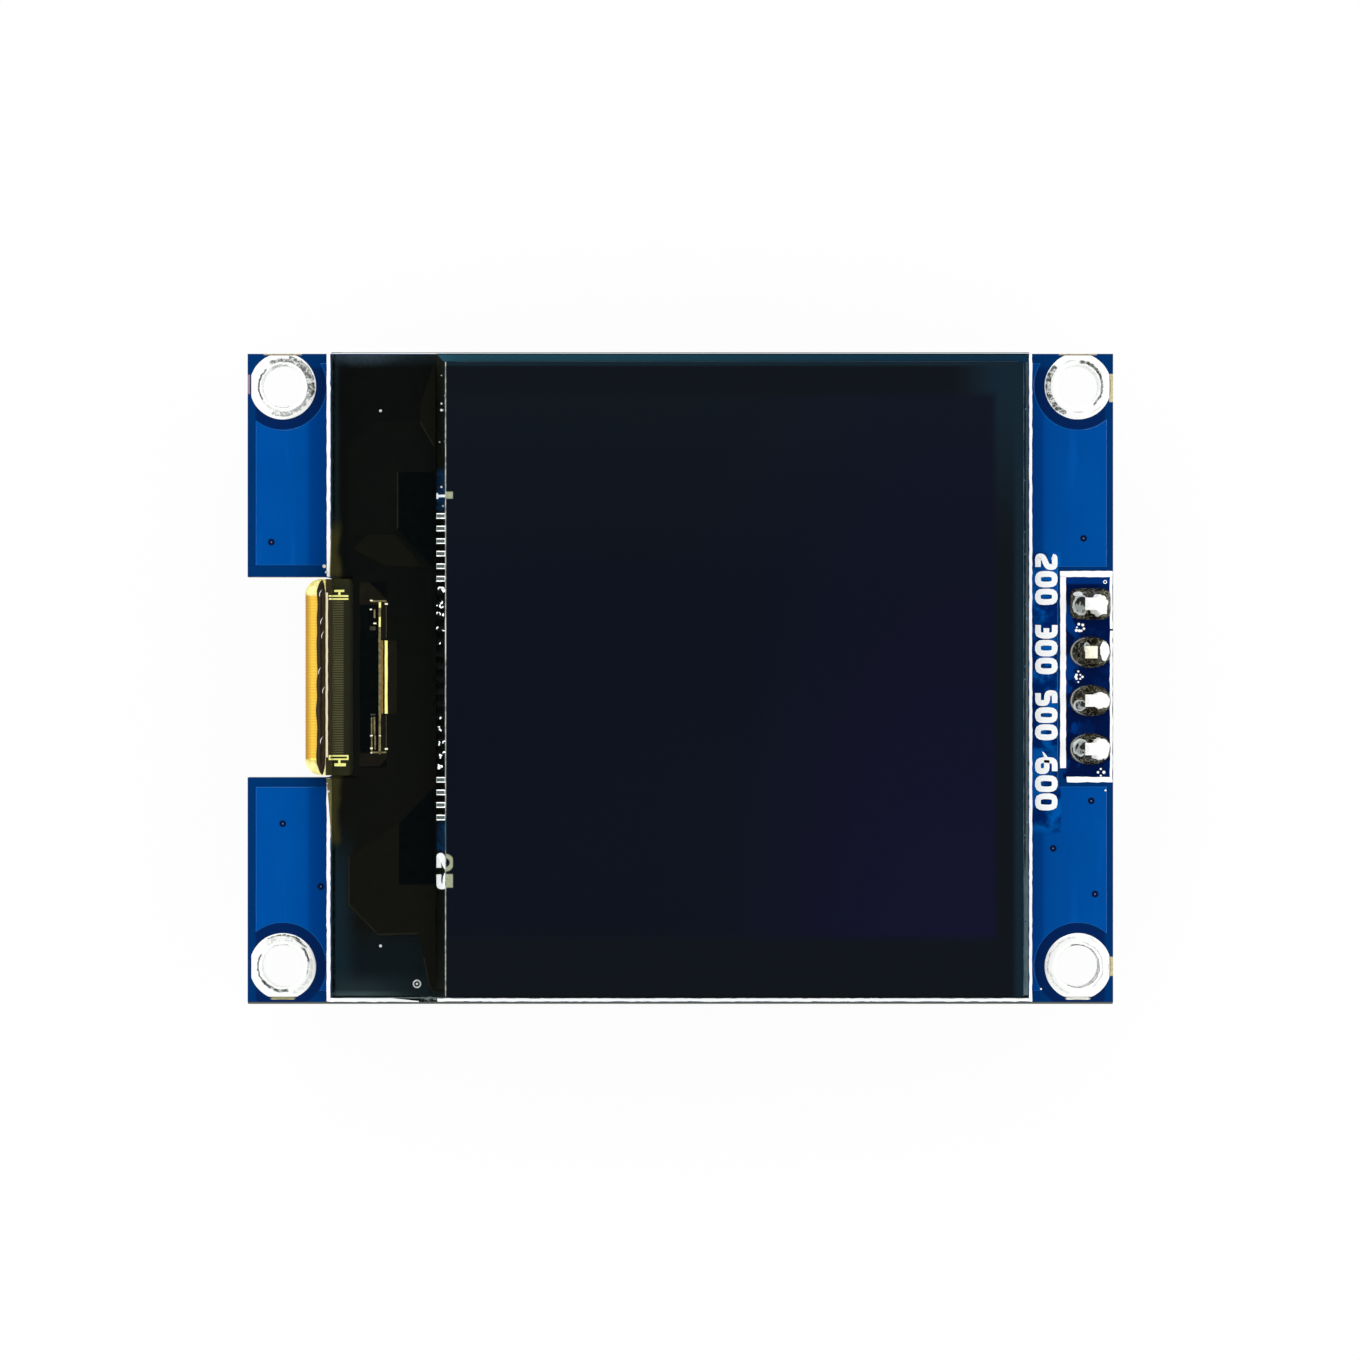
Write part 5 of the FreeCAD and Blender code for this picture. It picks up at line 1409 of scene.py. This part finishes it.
def underside_print(ink):
    """Printed outlines of the parts and the header on the underside."""
    mesh = bmesh.new()
    outlines = [(node, 0.42, 0.2) for node in LYING] + [(node, 0.2, 0.42) for node in STANDING]
    outlines += [("inductor_core", 0.25, 0.25), ("rectifier_diode", 0.45, 0.2)]
    for node, beside, beyond in outlines:
        part = Span(node)
        left, right = part.left - beside, part.right + beside
        front, back = part.front - beyond, part.back + beyond
        add_stroke(mesh, [(left, front), (right, front), (right, back), (left, back), (left, front)], 0.06,
                   -INK_TOP, 0.001)
    for node, along_x in (("boost_converter", True), ("voltage_regulator", False)):
        part = Span(node)
        for side in (-1, 1):
            if along_x:
                x = part.middle_x + side * 1.75
                line = [(x, part.middle_y - 0.8), (x, part.middle_y + 0.8)]
            else:
                y = part.middle_y + side * 1.75
                line = [(part.middle_x - 0.8, y), (part.middle_x + 0.8, y)]
            add_stroke(mesh, line, 0.06, -INK_TOP, 0.001)
    add_disc(mesh, 0.45, -7.35, 0.14, -INK_TOP, 0.001, 14)
    add_stroke(mesh, [(2.95, -10.6), (2.95, -8.6)], 0.12, -INK_TOP - 0.001, 0.001)
    add_stroke(mesh, [(22.68, 5.5), (20.02, 5.5), (20.02, -5.2), (22.68, -5.2)], 0.08, -INK_TOP, 0.001)
    ragged(mesh, 0.012, 6.4)
    add_piece("underside_outlines", mesh, ink)


# Stage


def stage():
    """Pale floor just below the pins' ends, plain white behind the object as the camera sees it."""
    reach = 1.5
    height = (pins[1].bottom - 0.06) * MM
    data = bpy.data.meshes.new("floor")
    mesh = bmesh.new()
    bmesh.ops.create_grid(mesh, x_segments=1, y_segments=1, size=reach)
    bmesh.ops.translate(mesh, verts=mesh.verts, vec=(0, 0, height))
    mesh.to_mesh(data)
    mesh.free()
    floor = bpy.data.objects.new("floor", data)
    bpy.context.scene.collection.objects.link(floor)
    paper = Finish("floor_paper", Base_Color=srgb(246, 247, 247), Roughness=0.9)
    plain = paper.node("ShaderNodeEmission", None, {"Strength": 1.0})
    seen = paper.node("ShaderNodeLightPath", output="Is Camera Ray")
    for ray in ("Is Glossy Ray", "Is Transmission Ray"):
        seen = seen + paper.node("ShaderNodeLightPath", output=ray)
    paper.blend(seen.lower(1.0) * 0.93, Socket(paper, paper.shader.outputs[0]), plain)
    data.materials.append(paper.material)


def light_tent():
    """White tent with a dark gap right overhead for the camera, and three soft lamps."""
    world = bpy.data.worlds.new("light_tent")
    world.use_nodes = True
    bpy.context.scene.world = world
    tent = Tree(world.node_tree)
    height = tent.parts(tent.node("ShaderNodeTexCoord", output="Generated"))[2]
    gap_edge, gap_core = math.cos(math.radians(24)), math.cos(math.radians(15))
    tent_light, gap_light = 1.14, 0.01
    gap = tent.rise(height, gap_edge, gap_core)
    strength = (1 - gap) * tent_light + gap * gap_light
    seen = tent.node("ShaderNodeLightPath", output="Is Camera Ray")
    strength = strength * (1 - seen) + seen
    background = world.node_tree.nodes["Background"]
    tent.feed(background.inputs["Strength"], strength)
    background.inputs["Color"].default_value = (1.0, 1.0, 1.0, 1.0)
    lamps = (("lamp_back", (-0.1, 0.38, 0.4), 0.4), ("lamp_left", (-0.45, 0.0, 0.3), 0.2),
             ("lamp_right", (0.45, 0.0, 0.3), 0.4))
    for name, place, power in lamps:
        data = bpy.data.lights.new(name, "AREA")
        data.shape = "DISK"
        data.size = 0.2
        data.energy = power
        lamp = bpy.data.objects.new(name, data)
        lamp.location = place
        lamp.rotation_euler = Vector(place).to_track_quat("Z", "Y").to_euler()
        bpy.context.scene.collection.objects.link(lamp)


def camera():
    """A long lens straight above the board, whose frame is 71.5 mm wide at the board's top."""
    distance = 350.0
    frame_width = 71.5
    middle_x, middle_y = -0.018, -0.047
    data = bpy.data.cameras.new("camera")
    data.sensor_width = 36.0
    data.lens = data.sensor_width * distance / frame_width
    data.clip_start = 0.01
    eye = bpy.data.objects.new("camera", data)
    eye.location = (middle_x * MM, middle_y * MM, (board.top + distance) * MM)
    bpy.context.scene.collection.objects.link(eye)
    bpy.context.scene.camera = eye


# Finish of each node with nothing special: its name, two tones, grain, roughness, relief and metal
PLAIN_NODES = {
    "header_base": ("header_plastic", srgb(24, 24, 25), srgb(38, 38, 40), 6.0, 0.5, 0.01),
    "foam_tape": ("foam", srgb(232, 232, 226), srgb(206, 206, 198), 5.0, 0.9, 0.04),
    "edge_seal": ("sealant", srgb(120, 118, 104), srgb(90, 88, 76), 3.0, 0.35, 0.01),
    "emitter_layer": ("cathode_film", srgb(168, 170, 174), srgb(140, 142, 148), 1.0, 0.25, 0.001, 0.8),
    "desiccant_sheet": ("drying_sheet", srgb(238, 238, 232), srgb(220, 220, 212), 6.0, 0.8, 0.01),
    "inductor_core": ("ferrite", srgb(64, 64, 68), srgb(44, 44, 47), 8.0, 0.6, 0.02),
}


def main():
    bpy.context.scene.view_settings.view_transform = "Standard"
    ink = ink_finish("white_ink", INK_GLOW)
    masked = pour_finish()
    copper_pour(masked)
    underside_copper(masked)
    underside_print(ink)
    underside_solder()
    silkscreen(ink)
    pin_numbers(ink)
    vias()
    for number in rings:
        tinned_ring(number)
    for number in joints:
        solder_joint(number)
    ribbon_joints(contact_finish())
    tape_surface = tape_finish()
    seen_marks(tape_surface)
    panel_border()
    glue_bead()
    glue_smears()
    dress(board_finish(), "circuit_board")
    dress(pin_finish(), *[f"header_pin_{number}" for number in pins])
    dress(glass_finish(), "substrate_glass", "cap_glass")
    dress(film_finish(), "polarizer")
    dress(tape_surface, "ledge_tape")
    dress(behind_finish("silicon", srgb(10, 13, 13), srgb(7, 10, 11), 3.0), "driver_ic")
    dress(ribbon_finish(), "flex_ribbon")
    for node, finish in PLAIN_NODES.items():
        dress(plain_finish(*finish), node)
    dress_underside()
    stage()
    light_tent()
    camera()


main()
